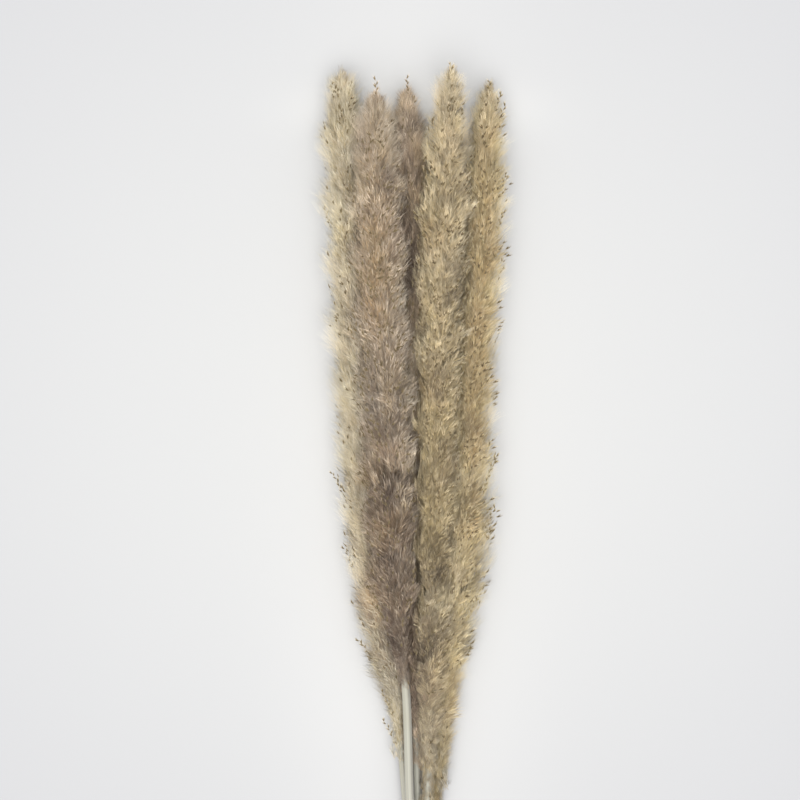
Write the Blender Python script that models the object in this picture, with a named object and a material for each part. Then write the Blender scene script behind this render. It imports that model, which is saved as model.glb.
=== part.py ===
"""A bunch of five dried pampas plumes, laid down on a table.

Five cut culms are held side by side by a wound rubber band. Above the band they fan out,
and each one carries a long, narrow plume: a slim core round the rachis, and slender
branches that rise from it in a spiral. Three plumes lie on the table and two lie in the
grooves between them, so every plume is pressed against its neighbours and never runs
into them.

Metres, +Z up. The table is z = 0 and the plumes point along +Y. The origin is on the
table, under the middle of the bunch.
"""

import math
import random
from collections import namedtuple

import bmesh
import bpy
from mathutils import Vector

MM = 0.001

# Lengths along the bunch, where each culm's place is given
STATIONS = tuple(y * MM for y in (-350, -225, -160, -90, 0, 110, 220, 345))
BAND_Y = STATIONS[1]

Frond = namedtuple("Frond", "name x z cut base tip culm girth colour seed")


def frond(name, x, z, cut, base, tip, culm, girth, colour, seed):
    """One frond, with x and z at the stations and every other length given in millimetres."""
    return Frond(
        name,
        tuple(v * MM for v in x),
        tuple(v * MM for v in z),
        cut * MM,
        base * MM,
        tip * MM,
        culm * MM,
        girth * MM,
        colour,
        seed,
    )


# Left to right as the tips lie. cut, base and tip are lengths along the bunch: the cut end,
# where the plume begins, and its tip. culm is the culm's radius and girth the plume's.
FRONDS = (
    frond(
        "outer_left",
        x=(-7.6, -6.0, -9.8, -16.9, -30.4, -41.4, -47.6, -53.8),
        z=(4.6, 5.0, 6.4, 9.0, 12.5, 14.0, 14.0, 11.0),
        cut=-346, base=-139, tip=346, culm=2.8, girth=18.5,
        colour=(0.50, 0.42, 0.27), seed=11,
    ),
    frond(
        "inner_left",
        x=(-3.1, -2.7, -7.4, -9.6, -16.4, -22.6, -27.9, -30.2),
        z=(10.0, 10.8, 13.4, 18.0, 25.5, 30.0, 29.5, 25.0),
        cut=-350, base=-90, tip=338, culm=3.0, girth=20.5,
        colour=(0.40, 0.31, 0.23), seed=23,
    ),
    frond(
        "middle",
        x=(0.9, 0.6, 0.0, -2.4, -4.1, -3.4, -3.9, -9.0),
        z=(4.4, 5.0, 6.2, 8.5, 11.5, 12.5, 12.5, 11.0),
        cut=-343, base=-125, tip=341, culm=2.7, girth=17.0,
        colour=(0.33, 0.27, 0.21), seed=37,
    ),
    frond(
        "inner_right",
        x=(4.8, 3.9, 7.0, 8.5, 9.6, 12.6, 17.6, 23.2),
        z=(9.8, 10.7, 13.8, 18.5, 25.0, 29.0, 29.0, 25.0),
        cut=-348, base=-157, tip=350, culm=2.8, girth=19.0,
        colour=(0.49, 0.41, 0.26), seed=41,
    ),
    frond(
        "outer_right",
        x=(9.0, 7.2, 13.8, 19.8, 28.6, 38.2, 45.5, 50.5),
        z=(4.6, 5.0, 6.6, 9.2, 12.5, 14.5, 14.5, 12.0),
        cut=-344, base=-185, tip=340, culm=2.8, girth=18.5,
        colour=(0.47, 0.37, 0.21), seed=53,
    ),
)

# Culms
CULM_COLOUR = (0.60, 0.56, 0.44)
CULM_STEP = 15 * MM
CULM_NODE_ABOVE_CUT = 42 * MM
CULM_NODE_SPACING = 7 * MM
CULM_NODE_SWELL = 1.13
CULM_NODE_REACH = 2.2 * MM
JOIN_GAP = 0.3 * MM

# Plumes
SHOULDER = 105 * MM
TIP_TAPER = 72 * MM
TIP_GIRTH = 0.30
BASE_GIRTH = 0.20
LOBE_LENGTH = 46 * MM
LOBE_DEPTH = 0.09
CORE_SHARE = 0.27
CORE_SIDES = 6
CORE_STEP = 24 * MM
CORE_TIP = 0.9 * MM

# Branches
BRANCHES = 140
BRANCH_LENGTH = 52 * MM
BRANCH_SHORTEST = 20 * MM
BRANCH_WIDTH = 2.7 * MM
BRANCH_TIP = 0.3 * MM
BRANCH_BELLY = 0.45
BRANCH_BELLY_OUT = 0.60
BRANCH_SPREAD = (0.84, 1.10)
TIP_STAGGER = 14 * MM
BRANCH_TRIES = (1.0, 0.9, 0.8, 0.7, 0.6, 0.5)
MOST_BEND = 2.5 * MM
ROOT_DEPTH = 0.3
GOLDEN_ANGLE = math.radians(137.508)
ANGLE_JITTER = math.radians(6)

# Where plumes press on each other and on the table
CLEARANCE = 0.45 * MM
FLOOR_SINK = 0.42

# Band
BAND_TURNS = 4
BAND_TURN_WIDTH = 2.0 * MM
BAND_THICK = 1.9 * MM
BAND_COLOUR = (0.45, 0.27, 0.12)
BAND_ROUND = 5
BAND_HOLDS = ("outer_right", "inner_right", "inner_left", "outer_left")
# One turn's outside, as shares of its width and of the band's thickness
BAND_RIDGE = ((0.05, 0.62), (0.28, 1.0), (0.72, 1.0), (0.95, 0.62))


def clear_scene():
    for obj in list(bpy.data.objects):
        bpy.data.objects.remove(obj, do_unlink=True)


def material(name, colour, roughness):
    made = bpy.data.materials.new(name)
    made.use_nodes = True
    shader = made.node_tree.nodes["Principled BSDF"]
    shader.inputs["Base Color"].default_value = (*colour, 1.0)
    shader.inputs["Roughness"].default_value = roughness
    shader.inputs["Metallic"].default_value = 0.0
    return made


def link(name, data, look):
    obj = bpy.data.objects.new(name, data)
    data.materials.append(look)
    bpy.context.scene.collection.objects.link(obj)
    return obj


def smooth_step(t):
    t = min(max(t, 0.0), 1.0)
    return t * t * (3 - 2 * t)


def through(values, y):
    """The value at y on a smooth curve through one value for each station."""
    last = len(STATIONS) - 1
    i = 0
    while i < last - 1 and y > STATIONS[i + 1]:
        i += 1

    def slope(k):
        low, high = max(k - 1, 0), min(k + 1, last)
        return (values[high] - values[low]) / (STATIONS[high] - STATIONS[low])

    span = STATIONS[i + 1] - STATIONS[i]
    t = (y - STATIONS[i]) / span
    return (
        (2 * t**3 - 3 * t**2 + 1) * values[i]
        + (t**3 - 2 * t**2 + t) * span * slope(i)
        + (3 * t**2 - 2 * t**3) * values[i + 1]
        + (t**3 - t**2) * span * slope(i + 1)
    )


def place(f, y):
    """The middle of frond f's culm or rachis at y."""
    return Vector((through(f.x, y), y, through(f.z, y)))


def heading(f, y):
    step = 1 * MM
    return (place(f, y + step) - place(f, y - step)).normalized()


def girth(f, y):
    """The plume's radius at y: narrow where it begins, lobed, and drawn in to its tip."""
    if y < f.base or y > f.tip:
        return f.culm if y < f.base else 0.0
    opened = BASE_GIRTH + (1 - BASE_GIRTH) * smooth_step((y - f.base) / SHOULDER)
    closed = TIP_GIRTH + (1 - TIP_GIRTH) * smooth_step((f.tip - y) / TIP_TAPER)
    lobes = 1 + LOBE_DEPTH * math.sin(2 * math.pi * (y - f.base) / LOBE_LENGTH + f.seed)
    return max(f.girth * opened * closed * lobes, f.culm)


def core(f, y):
    """The radius of the hard middle at y: the culm's own, the plume's core, or none above it."""
    if y < f.base:
        return f.culm
    if y > f.tip:
        return 0.0
    rising = smooth_step((y - f.base) / SHOULDER)
    wide = f.culm + (CORE_SHARE * f.girth - f.culm) * rising
    left = smooth_step((f.tip - y) / (2 * TIP_TAPER))
    return CORE_TIP + (wide - CORE_TIP) * left


def border(f, other, y):
    """How far from f's middle its territory reaches towards another frond at y."""
    apart = (place(other, y) - place(f, y)).length
    mine, theirs = girth(f, y), girth(other, y)
    share = apart * mine / (mine + theirs)
    return min(max(share, core(f, y) + CLEARANCE), apart - core(other, y) - CLEARANCE)


def keep_inside(f, point, radius):
    """The nearest place to point where a branch of this radius stays on f's side of its neighbours
    and above the table."""
    for _ in range(4):
        middle = place(f, point.y)
        for other in FRONDS:
            if other is f or point.y > other.tip or point.y < other.cut:
                continue
            way = place(other, point.y) - middle
            way.normalize()
            reach = border(f, other, point.y) - radius - CLEARANCE
            over = (point - middle).dot(way) - reach
            if over > 0:
                point = point - way * over
        point.z = max(point.z, radius * FLOOR_SINK)
    return point


def add_ring(bm, middle, along, radius, sides, turn=0.0):
    """A ring of points round middle, square to along. The first points up, before the turn."""
    up = Vector((0, 0, 1))
    side = along.cross(up).normalized()
    up = side.cross(along).normalized()
    return [
        bm.verts.new(
            middle
            + radius
            * (math.cos(a) * up + math.sin(a) * side)
        )
        for a in (turn + 2 * math.pi * k / sides for k in range(sides))
    ]


def add_skin(bm, rings, start=None, end=None):
    """Faces between rings of equal count, closed at either end by a point or, without one, a cap."""
    sides = len(rings[0])
    for near, far in zip(rings, rings[1:]):
        for k in range(sides):
            n = (k + 1) % sides
            bm.faces.new((near[k], near[n], far[n], far[k]))
    for ring, point in ((rings[0], start), (rings[-1], end)):
        if point is None:
            bm.faces.new(ring)
            continue
        apex = bm.verts.new(point)
        for k in range(sides):
            bm.faces.new((ring[k], ring[(k + 1) % sides], apex))


def finish_mesh(bm, name):
    bmesh.ops.recalc_face_normals(bm, faces=bm.faces)
    bmesh.ops.triangulate(bm, faces=bm.faces)
    mesh = bpy.data.meshes.new(name)
    bm.to_mesh(mesh)
    bm.free()
    return mesh


def core_mesh(f):
    """The plume's slim middle, which the branches grow from."""
    count = round((f.tip - f.base) / CORE_STEP)
    top = f.tip - 0.6 * CORE_STEP
    levels = [f.base + (top - f.base) * k / count for k in range(count + 1)]
    bm = bmesh.new()
    rings = [
        add_ring(bm, place(f, y), heading(f, y), core(f, y), CORE_SIDES) for y in levels
    ]
    add_skin(bm, rings, end=place(f, f.tip))
    return finish_mesh(bm, f.name + "_core")


def branch_points(f, root_y, out, length, spread, highest):
    """A branch's root, the middle of its belly, and its tip, before its neighbours bend it."""
    root_out = ROOT_DEPTH * core(f, root_y)
    tip_y = min(root_y + length, highest)
    tip_out = girth(f, tip_y) * spread
    belly_y = root_y + BRANCH_BELLY * (tip_y - root_y)
    belly_out = root_out + BRANCH_BELLY_OUT * (tip_out - root_out)
    return (
        place(f, root_y) + out * root_out,
        place(f, belly_y) + out * belly_out,
        place(f, tip_y) + out * tip_out,
    )


def branch_mesh(f, root_y, angle, draw):
    """A slender three-sided branch: out of the core, up and outwards, thickest near its middle.
    One that would press far into the next plume or the table is shorter, and is then bent clear."""
    along = heading(f, root_y)
    side = along.cross(Vector((0, 0, 1))).normalized()
    up = side.cross(along).normalized()
    out = math.cos(angle) * side + math.sin(angle) * up
    spread = draw.uniform(*BRANCH_SPREAD)
    wanted = min(BRANCH_LENGTH * draw.uniform(0.9, 1.1), max(f.tip - root_y, BRANCH_SHORTEST))
    turn = draw.uniform(0, 2 * math.pi)
    highest = f.tip - draw.uniform(0.5 * MM, TIP_STAGGER)
    for share in BRANCH_TRIES:
        length = wanted * share
        root, belly, tip = branch_points(f, root_y, out, length, spread, highest)
        width = BRANCH_WIDTH * (0.55 + 0.45 * length / BRANCH_LENGTH)
        kept = keep_inside(f, tip.copy(), BRANCH_TIP)
        if (kept - tip).length < MOST_BEND:
            break
    belly = keep_inside(f, belly, width)
    bm = bmesh.new()
    ring = add_ring(bm, belly, (kept - root).normalized(), width, 3, turn)
    add_skin(bm, [ring], start=root, end=kept)
    return finish_mesh(bm, f.name + "_branch")


def boolean(obj, operation, **operand):
    """Applies one Boolean to obj."""
    cut = obj.modifiers.new("join", "BOOLEAN")
    cut.operation = operation
    cut.solver = "MANIFOLD"
    for field, value in operand.items():
        setattr(cut, field, value)
    bpy.context.view_layer.objects.active = obj
    bpy.ops.object.modifier_apply(modifier=cut.name)


def keep_outer_skin(obj):
    """Keeps the largest island of the mesh. Small hollows that crossing branches shut in are
    islands too, so this fills them, and it drops loose scraps."""
    bm = bmesh.new()
    bm.from_mesh(obj.data)
    left, largest = set(bm.verts), set()
    while left:
        front = [left.pop()]
        island = set(front)
        while front:
            for edge in front.pop().link_edges:
                new = {v for v in edge.verts if v in left}
                left -= new
                island |= new
                front.extend(new)
        if len(island) > len(largest):
            largest = island
    bmesh.ops.delete(bm, geom=[v for v in bm.verts if v not in largest], context="VERTS")
    bm.to_mesh(obj.data)
    bm.free()


def cut_at_table(obj):
    """Takes off what lies below the table, which leaves the small flats that the plume rests on."""
    bpy.ops.mesh.primitive_cube_add(size=1.0, location=(0, 0, -0.25), scale=(0.5, 1.0, 0.5))
    under = bpy.context.active_object
    bpy.ops.object.transform_apply(location=True, rotation=False, scale=True)
    boolean(obj, "DIFFERENCE", object=under)
    bpy.data.objects.remove(under, do_unlink=True)


def make_plume(f):
    """The core with its branches, joined in one solid."""
    draw = random.Random(f.seed)
    look = material("plume_" + f.name, f.colour, 0.9)
    plume = link("plume_" + f.name, core_mesh(f), look)
    twigs = bpy.data.collections.new("branches")
    bpy.context.scene.collection.children.link(twigs)
    highest = f.tip - BRANCH_SHORTEST
    for i in range(BRANCHES):
        share = (i + 0.5) / BRANCHES
        root_y = f.base + 3 * MM + (highest - f.base - 3 * MM) * share
        angle = i * GOLDEN_ANGLE + draw.uniform(-ANGLE_JITTER, ANGLE_JITTER)
        twig = bpy.data.objects.new("branch", branch_mesh(f, root_y, angle, draw))
        twigs.objects.link(twig)
    boolean(plume, "UNION", operand_type="COLLECTION", collection=twigs)
    for twig in list(twigs.objects):
        bpy.data.objects.remove(twig, do_unlink=True)
    bpy.data.collections.remove(twigs)
    cut_at_table(plume)
    keep_outer_skin(plume)
    return plume


def make_culm(f, look):
    """The culm from its cut end to the plume's base, with one ringed node near the cut."""
    top = f.base - JOIN_GAP * heading(f, f.base).y
    node_y = f.cut + CULM_NODE_ABOVE_CUT + CULM_NODE_SPACING * (f.seed % 5)
    count = round((top - f.cut) / CULM_STEP)
    levels = {f.cut + (top - f.cut) * k / count: 1.0 for k in range(count + 1)}
    levels = {y: s for y, s in levels.items() if abs(y - node_y) > 1.8 * CULM_NODE_REACH}
    levels.update(
        {
            node_y - CULM_NODE_REACH: 1.0,
            node_y: CULM_NODE_SWELL,
            node_y + CULM_NODE_REACH: 1.0,
        }
    )
    curve = bpy.data.curves.new("culm_" + f.name, "CURVE")
    curve.dimensions = "3D"
    curve.bevel_depth = f.culm
    curve.bevel_resolution = 2
    curve.use_fill_caps = True
    line = curve.splines.new("POLY")
    line.points.add(len(levels) - 1)
    for spot, (y, swell) in zip(line.points, sorted(levels.items())):
        spot.co = (*place(f, y), 1.0)
        spot.radius = swell
    return link("culm_" + f.name, curve, look)


def across_bundle(f):
    """Where culm f lies in the slice through the band, as x and z."""
    middle = place(f, BAND_Y)
    return Vector((middle.x, middle.z))


def facing_out(a, b):
    """The angle square to the straight run that a tight band makes from culm a to culm b."""
    run = across_bundle(b) - across_bundle(a)
    return math.atan2(-run.x, run.y) + math.asin((a.culm - b.culm) / run.length)


def band_path(gap):
    """The line of a band drawn tight round the outer culms, this far off them: an arc at each
    culm, joined by straight runs, anticlockwise as seen from the cut ends."""
    by_name = {f.name: f for f in FRONDS}
    held = [by_name[n] for n in BAND_HOLDS]
    points = []
    for k, f in enumerate(held):
        first = facing_out(held[k - 1], f)
        turn = (facing_out(f, held[(k + 1) % len(held)]) - first) % (2 * math.pi)
        for step in range(BAND_ROUND + 1):
            a = first + turn * step / BAND_ROUND
            points.append(across_bundle(f) + (f.culm + gap) * Vector((math.cos(a), math.sin(a))))
    return points


def make_band():
    """The band: one closed sleeve round the five culms, with a rounded ridge for each turn."""
    inside = band_path(JOIN_GAP)
    half = 0.5 * BAND_TURNS
    profile = [(-half, 0.0)]
    for turn in range(BAND_TURNS):
        profile += [(turn - half + along, rise) for along, rise in BAND_RIDGE]
    profile.append((half, 0.0))
    outside = band_path(JOIN_GAP + BAND_THICK)
    bm = bmesh.new()
    loops = []
    for near, far in zip(inside, outside):
        loops.append(
            [
                bm.verts.new(
                    (
                        near.x + (far.x - near.x) * rise,
                        BAND_Y + along * BAND_TURN_WIDTH,
                        near.y + (far.y - near.y) * rise,
                    )
                )
                for along, rise in profile
            ]
        )
    for k, loop in enumerate(loops):
        after = loops[(k + 1) % len(loops)]
        for n in range(len(profile)):
            m = (n + 1) % len(profile)
            bm.faces.new((loop[n], loop[m], after[m], after[n]))
    return link("rubber_band", finish_mesh(bm, "rubber_band"), material("band", BAND_COLOUR, 0.55))


def main():
    clear_scene()
    straw = material("culm", CULM_COLOUR, 0.5)
    for f in FRONDS:
        make_culm(f, straw)
        make_plume(f)
    make_band()


main()
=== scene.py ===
# %% [markdown]
# Dried pampas grass, laid down as a bunch
#
# This lesson dresses a plain solid model of five dried pampas fronds. On the real plant each
# plume is a slim stalk with long branches that rise close round it, and every branch carries
# hundreds of spikelets: a pair of papery husks with a tuft of silky hair. Seen from a step
# away the hair melts into fur, and the husks are dark specks in it.
#
# The solid model gives the frame: where each stem and plume lies. The looks are built round it in four
# steps: one husk and two hairs are modelled one by one, they are gathered into spikelets, the spikelets are
# set along branches by a rule, and stems and band get their finish.

# %% Load the solid model
import math

import bmesh
import bpy
import numpy as np
from mathutils import Euler, Matrix


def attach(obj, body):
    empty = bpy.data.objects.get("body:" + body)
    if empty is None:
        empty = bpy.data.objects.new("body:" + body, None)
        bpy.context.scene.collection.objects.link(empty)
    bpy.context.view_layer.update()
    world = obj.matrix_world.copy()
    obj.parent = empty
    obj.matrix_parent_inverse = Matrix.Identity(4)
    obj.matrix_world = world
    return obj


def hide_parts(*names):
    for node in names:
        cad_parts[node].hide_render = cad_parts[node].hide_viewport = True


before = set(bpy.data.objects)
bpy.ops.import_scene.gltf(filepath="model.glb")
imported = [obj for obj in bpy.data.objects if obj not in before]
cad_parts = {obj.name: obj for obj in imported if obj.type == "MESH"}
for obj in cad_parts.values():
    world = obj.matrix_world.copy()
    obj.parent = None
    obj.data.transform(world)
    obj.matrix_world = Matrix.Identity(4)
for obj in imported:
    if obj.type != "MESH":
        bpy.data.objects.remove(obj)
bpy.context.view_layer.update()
MM = 0.001
print("solid model:", len(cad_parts), "nodes")

# %% [markdown]
# Colours and node trees
#
# Colours are picked as they look, in sRGB hex, and Blender's shaders want them linear, so one
# function turns them. One more adds any shader node and fills its sockets, each from another
# node, with a colour or with a number.

# %% Helpers for materials


def linear(hex_colour):
    """An sRGB hex colour as linear red, green, blue and alpha."""
    channels = [int(hex_colour[i : i + 2], 16) / 255 for i in (1, 3, 5)]
    return [c / 12.92 if c <= 0.04045 else ((c + 0.055) / 1.055) ** 2.4 for c in channels] + [1.0]


def fill(node, sockets):
    """Fills a node's sockets: from another node's output, with a hex colour or with a number."""
    for socket, value in sockets.items():
        if isinstance(value, bpy.types.NodeSocket):
            node.id_data.links.new(value, node.inputs[socket])
        else:
            node.inputs[socket].default_value = linear(value) if isinstance(value, str) else value


def add_node(tree, kind, sockets=None, **settings):
    """Adds a node with its settings, and fills its sockets."""
    node = tree.nodes.new(kind)
    for field, value in settings.items():
        setattr(node, field, value)
    fill(node, sockets or {})
    return node


def new_material(name):
    """A material with its Principled node and its output, both still plain."""
    made = bpy.data.materials.new(name)
    made.use_nodes = True
    made.node_tree.nodes.clear()
    shader = add_node(made.node_tree, "ShaderNodeBsdfPrincipled")
    out = add_node(made.node_tree, "ShaderNodeOutputMaterial", {"Surface": shader.outputs["BSDF"]})
    return made, made.node_tree, shader, out


# %% [markdown]
# Where the fronds run
#
# The stems and plumes must follow the solid model, so the same values give their course here, in
# millimetres: x sideways and z upward at eight stations along the bunch. Along y, "cut", "base", "tip" and
# "fur" say where a stem is cut, where its plume begins, and where its stalk and its fur end. Then come its
# radius, how it opens and closes, and how its fur looks. "open" and "swept" say to which side an edge is
# free and the fur is swept: left is negative. "full" scales the radius at each station, "pale" is how pale
# the left and the right side are painted, as light through them, and the others are shares from 0 to 1,
# among them "shaded", the darkest painted shade of its hair, and "pockets", the strength of its pockets of
# painted shade.

# %% The five fronds
STATIONS = np.array((-350, -225, -160, -90, 0, 110, 220, 345)) * MM
BAND_Y = STATIONS[1]

FRONDS = {
    "outer_left": dict(
        x=(-7.6, -6.0, -9.0, -16.6, -30.2, -40.3, -46.5, -54.0),
        z=(4.6, 5.0, 6.4, 9.0, 12.5, 14.0, 14.0, 11.0),
        cut=-346, base=-139, tip=346, fur=354, shoulder=100, culm=2.8, girth=18.0, seed=11,
        crown=0.3, taper=50, skirt=0, drop=4, shaded=0.42,
        pockets=0.2, tuft=0.85, open=-1, swept=-0.6, rust=0.2, pale=(0.62, 0.3), husks=0.4,
        full=(1, 1, 1, 0.95, 1.07, 1.03, 1.02, 0.83),
    ),
    "inner_left": dict(
        x=(-3.1, -2.7, -5.8, -8.2, -16.0, -21.8, -27.5, -30.2),
        z=(10.0, 10.8, 13.4, 18.0, 25.5, 30.0, 29.5, 25.0),
        cut=-350, base=-90, tip=338, fur=339, shoulder=84, culm=3.0, girth=20.5, seed=23,
        crown=0.05, taper=80, skirt=-4, drop=13, shaded=0.28,
        pockets=0.45, tuft=0.92, open=0, swept=-0.15, rust=0.45, pale=(0.35, 0.35), husks=0.6,
        full=(1, 1, 1, 1, 1, 1.05, 1, 1),
    ),
    "middle": dict(
        x=(0.9, 0.6, 0.0, -2.4, -4.1, -3.4, -3.9, -9.0),
        z=(4.4, 5.0, 6.2, 8.5, 11.5, 12.5, 12.5, 11.0),
        cut=-343, base=-125, tip=341, fur=343, shoulder=80, culm=2.7, girth=17.0, seed=37,
        crown=0.05, taper=85, skirt=18, drop=13, shaded=0.28,
        pockets=0.35, tuft=0.9, open=0, swept=0.0, rust=0.15, pale=(0.2, 0.2), husks=0.35,
        full=(1, 1, 1, 1, 1, 1, 1, 1),
    ),
    "inner_right": dict(
        x=(4.8, 3.9, 7.0, 8.5, 9.6, 12.4, 16.8, 23.2),
        z=(9.8, 10.7, 13.8, 18.5, 25.0, 29.0, 29.0, 25.0),
        cut=-348, base=-157, tip=350, fur=358, shoulder=120, culm=2.8, girth=19.0, seed=41,
        crown=0.05, taper=110, skirt=16, drop=12, shaded=0.3,
        pockets=0.35, tuft=0.75, open=0, swept=0.1, rust=0.12, pale=(0.25, 0.45), husks=0.7,
        full=(1, 0.7, 0.65, 0.85, 1, 1, 1.12, 1.1),
    ),
    "outer_right": dict(
        x=(9.0, 7.2, 13.8, 19.8, 28.6, 37.3, 44.1, 50.5),
        z=(4.6, 5.0, 6.6, 9.2, 12.5, 14.5, 14.5, 12.0),
        cut=-344, base=-185, tip=340, fur=348, shoulder=200, culm=2.8, girth=17.5, seed=53,
        crown=0.1, taper=88, skirt=0, drop=10, shaded=0.3,
        pockets=0.25, tuft=0.75, open=1, swept=0.35, rust=0.42, pale=(0.3, 0.7), husks=0.85,
        full=(1, 0.8, 0.85, 0.95, 1.45, 1.02, 1.02, 1.0),
    ),
}
for row in FRONDS.values():
    for field in ("x", "z"):
        row[field] = np.array(row[field]) * MM
    row["full"] = np.array(row["full"])
    for length in ("cut", "base", "tip", "fur", "shoulder", "taper", "skirt", "drop", "culm", "girth"):
        row[length] *= MM
print("plumes:", ", ".join(f"{n} {(f['fur'] - f['base']) / MM:.0f} mm" for n, f in FRONDS.items()))

# %% [markdown]
# A frond as a smooth curve
#
# One smooth curve through the stations gives the middle of a stem anywhere, and from it the
# directions along, beside and above it. The plume round it is narrow where it begins, swells
# and shrinks in soft lobes, and closes towards its tip. All functions take whole arrays,
# because a plume holds some six thousand spikelets.

# %% Course and girth of a frond
CROWN_SHAPE = 0.55
BASE_GIRTH = 0.2
LOBE_LENGTH = 46 * MM
LOBE_DEPTH = 0.09


def smooth_step(t):
    """From 0 to 1 without a corner."""
    t = np.clip(t, 0.0, 1.0)
    return t * t * (3 - 2 * t)


def unit(v):
    """Vectors made 1 long."""
    return v / np.maximum(np.linalg.norm(v, axis=-1, keepdims=True), 1e-9)


def weighted(a, first, b, second):
    """The sum of two rows of vectors, each vector times its own weight."""
    return a[:, None] * first + b[:, None] * second


def through(values, y):
    """The values at y on a smooth curve through one value for each station."""
    last = len(STATIONS) - 1
    high = np.minimum(np.arange(last + 1) + 1, last)
    low = np.maximum(np.arange(last + 1) - 1, 0)
    slope = (values[high] - values[low]) / (STATIONS[high] - STATIONS[low])
    i = np.clip(np.searchsorted(STATIONS, y) - 1, 0, last - 1)
    span = STATIONS[i + 1] - STATIONS[i]
    t = (y - STATIONS[i]) / span
    return (
        (2 * t**3 - 3 * t**2 + 1) * values[i]
        + (t**3 - 2 * t**2 + t) * span * slope[i]
        + (3 * t**2 - 2 * t**3) * values[i + 1]
        + (t**3 - t**2) * span * slope[i + 1]
    )


def middle_line(f, y):
    """Points on the middle of a frond's stem, one for each y."""
    return np.stack([through(f["x"], y), y, through(f["z"], y)], axis=-1)


def stem_axes(f, y):
    """Along, sideways and upward directions of a frond's stem at y."""
    step = 1 * MM
    along = unit(middle_line(f, y + step) - middle_line(f, y - step))
    side = unit(np.cross(along, (0.0, 0.0, 1.0)))
    return along, side, np.cross(side, along)


def lobe(f, y):
    """Where y lies in the soft swelling and shrinking of a plume, from -1 to 1."""
    return np.sin(2 * math.pi * (y - f["base"]) / LOBE_LENGTH + f["seed"])


def girth(f, y):
    """The plume's radius at y: narrow where it begins, lobed, and drawn in to its tip."""
    opened = BASE_GIRTH + (1 - BASE_GIRTH) * smooth_step((y - f["base"]) / f["shoulder"])
    drawn_in = np.clip((f["fur"] - y) / f["taper"], 0, 1) ** CROWN_SHAPE
    closed = f["crown"] + (1 - f["crown"]) * drawn_in
    lobes = 1 + LOBE_DEPTH * lobe(f, y)
    wide = np.maximum(f["girth"] * through(f["full"], y) * opened * closed * lobes, f["culm"])
    return np.where(y < f["base"], f["culm"], wide)


print("widest:", ", ".join(f"{n} {2 * girth(f, STATIONS).max() / MM:.0f} mm" for n, f in FRONDS.items()))

# %% [markdown]
# Camera
#
# The bunch is seen from straight above, so the camera looks down and its up is the plumes'
# direction. A long lens keeps it flat.

# %% Camera
VIEW_MIDDLE = (-12.5 * MM, 116.2 * MM)
VIEW_WIDTH = 560 * MM
PLUME_LEVEL = 24 * MM
LENS = 85.0
SENSOR = 36.0

eye = bpy.data.cameras.new("camera")
eye.lens = LENS
eye.sensor_width = SENSOR
camera = bpy.data.objects.new("camera", eye)
camera.location = (*VIEW_MIDDLE, PLUME_LEVEL + VIEW_WIDTH * LENS / SENSOR)
bpy.context.scene.collection.objects.link(camera)
bpy.context.scene.camera = camera
bpy.context.scene.view_settings.view_transform = "Standard"
print(f"camera {camera.location.z:.2f} m up, seeing {VIEW_WIDTH / MM:.0f} mm of the table")

# %% [markdown]
# Floor
#
# The bunch lies on matt white paper, which never looks one even white. It is lightest where the light falls
# in, along the bunch, whose straw throws light back on it, and between the tips, over the shadow that they
# throw. Real lamps and reflectors would do that too, but three soft ovals of painted light in the paper's
# colour are simpler to place, and each can be changed without touching the others.

# %% Floor
FLOOR_SIZE = 6.0
FLOOR_BELOW = 0.2 * MM
PAPER = "#8C8C8E"
# Painted light on the paper: each oval's colour, middle and radii.
PAINTED_LIGHT_OVALS = (
    ("#9B9B9A", VIEW_MIDDLE, (378 * MM, 378 * MM)),
    ("#A8A7A5", (-4.0 * MM, 80.0 * MM), (75 * MM, 240 * MM)),
    ("#B6B5B2", (-2.0 * MM, 322.0 * MM), (58 * MM, 19 * MM)),
)

bpy.ops.object.select_all(action="DESELECT")
bpy.ops.mesh.primitive_plane_add(size=FLOOR_SIZE, location=(0, 0, -FLOOR_BELOW))
floor = bpy.context.active_object
floor.name = "floor"
paint, tree, shader, _ = new_material("matt white paper")
place = add_node(tree, "ShaderNodeTexCoord").outputs["Object"]
tone = PAPER
# Each oval mixes painted light into the paper's colour, strongest at its middle.
for painted_light, middle, radii in PAINTED_LIGHT_OVALS:
    from_middle = add_node(tree, "ShaderNodeMapping", {
        "Vector": place, "Location": (-middle[0] / radii[0], -middle[1] / radii[1], 0),
        "Scale": (1 / radii[0], 1 / radii[1], 1),
    }).outputs["Vector"]
    squared = add_node(
        tree, "ShaderNodeVectorMath", {0: from_middle, 1: from_middle}, operation="DOT_PRODUCT"
    ).outputs["Value"]
    falling = add_node(tree, "ShaderNodeMath", {0: squared, 1: -1.0}, operation="MULTIPLY").outputs[0]
    oval = add_node(tree, "ShaderNodeMath", {0: falling}, operation="EXPONENT").outputs[0]
    tone = add_node(
        tree, "ShaderNodeMix", {"Factor": oval, "A": tone, "B": painted_light}, data_type="RGBA"
    ).outputs["Result"]
fill(shader, {"Base Color": tone, "Roughness": 0.9})
floor.data.materials.append(paint)
print("floor", FLOOR_SIZE, "m wide with", len(PAINTED_LIGHT_OVALS), "lighter ovals")

# %% [markdown]
# Light
#
# The light is soft and nearly even: a bright sky all round, and one very broad lamp. The lamp
# stands a little towards the cut ends, so it lays a faint shadow beyond the tips.

# %% Light
SKY_STRENGTH = 1.57
LAMP_STRENGTH = 3.76
LAMP_BROAD = math.radians(70)
LAMP_TURN = (math.radians(24), 0.0, math.radians(-4))

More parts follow.
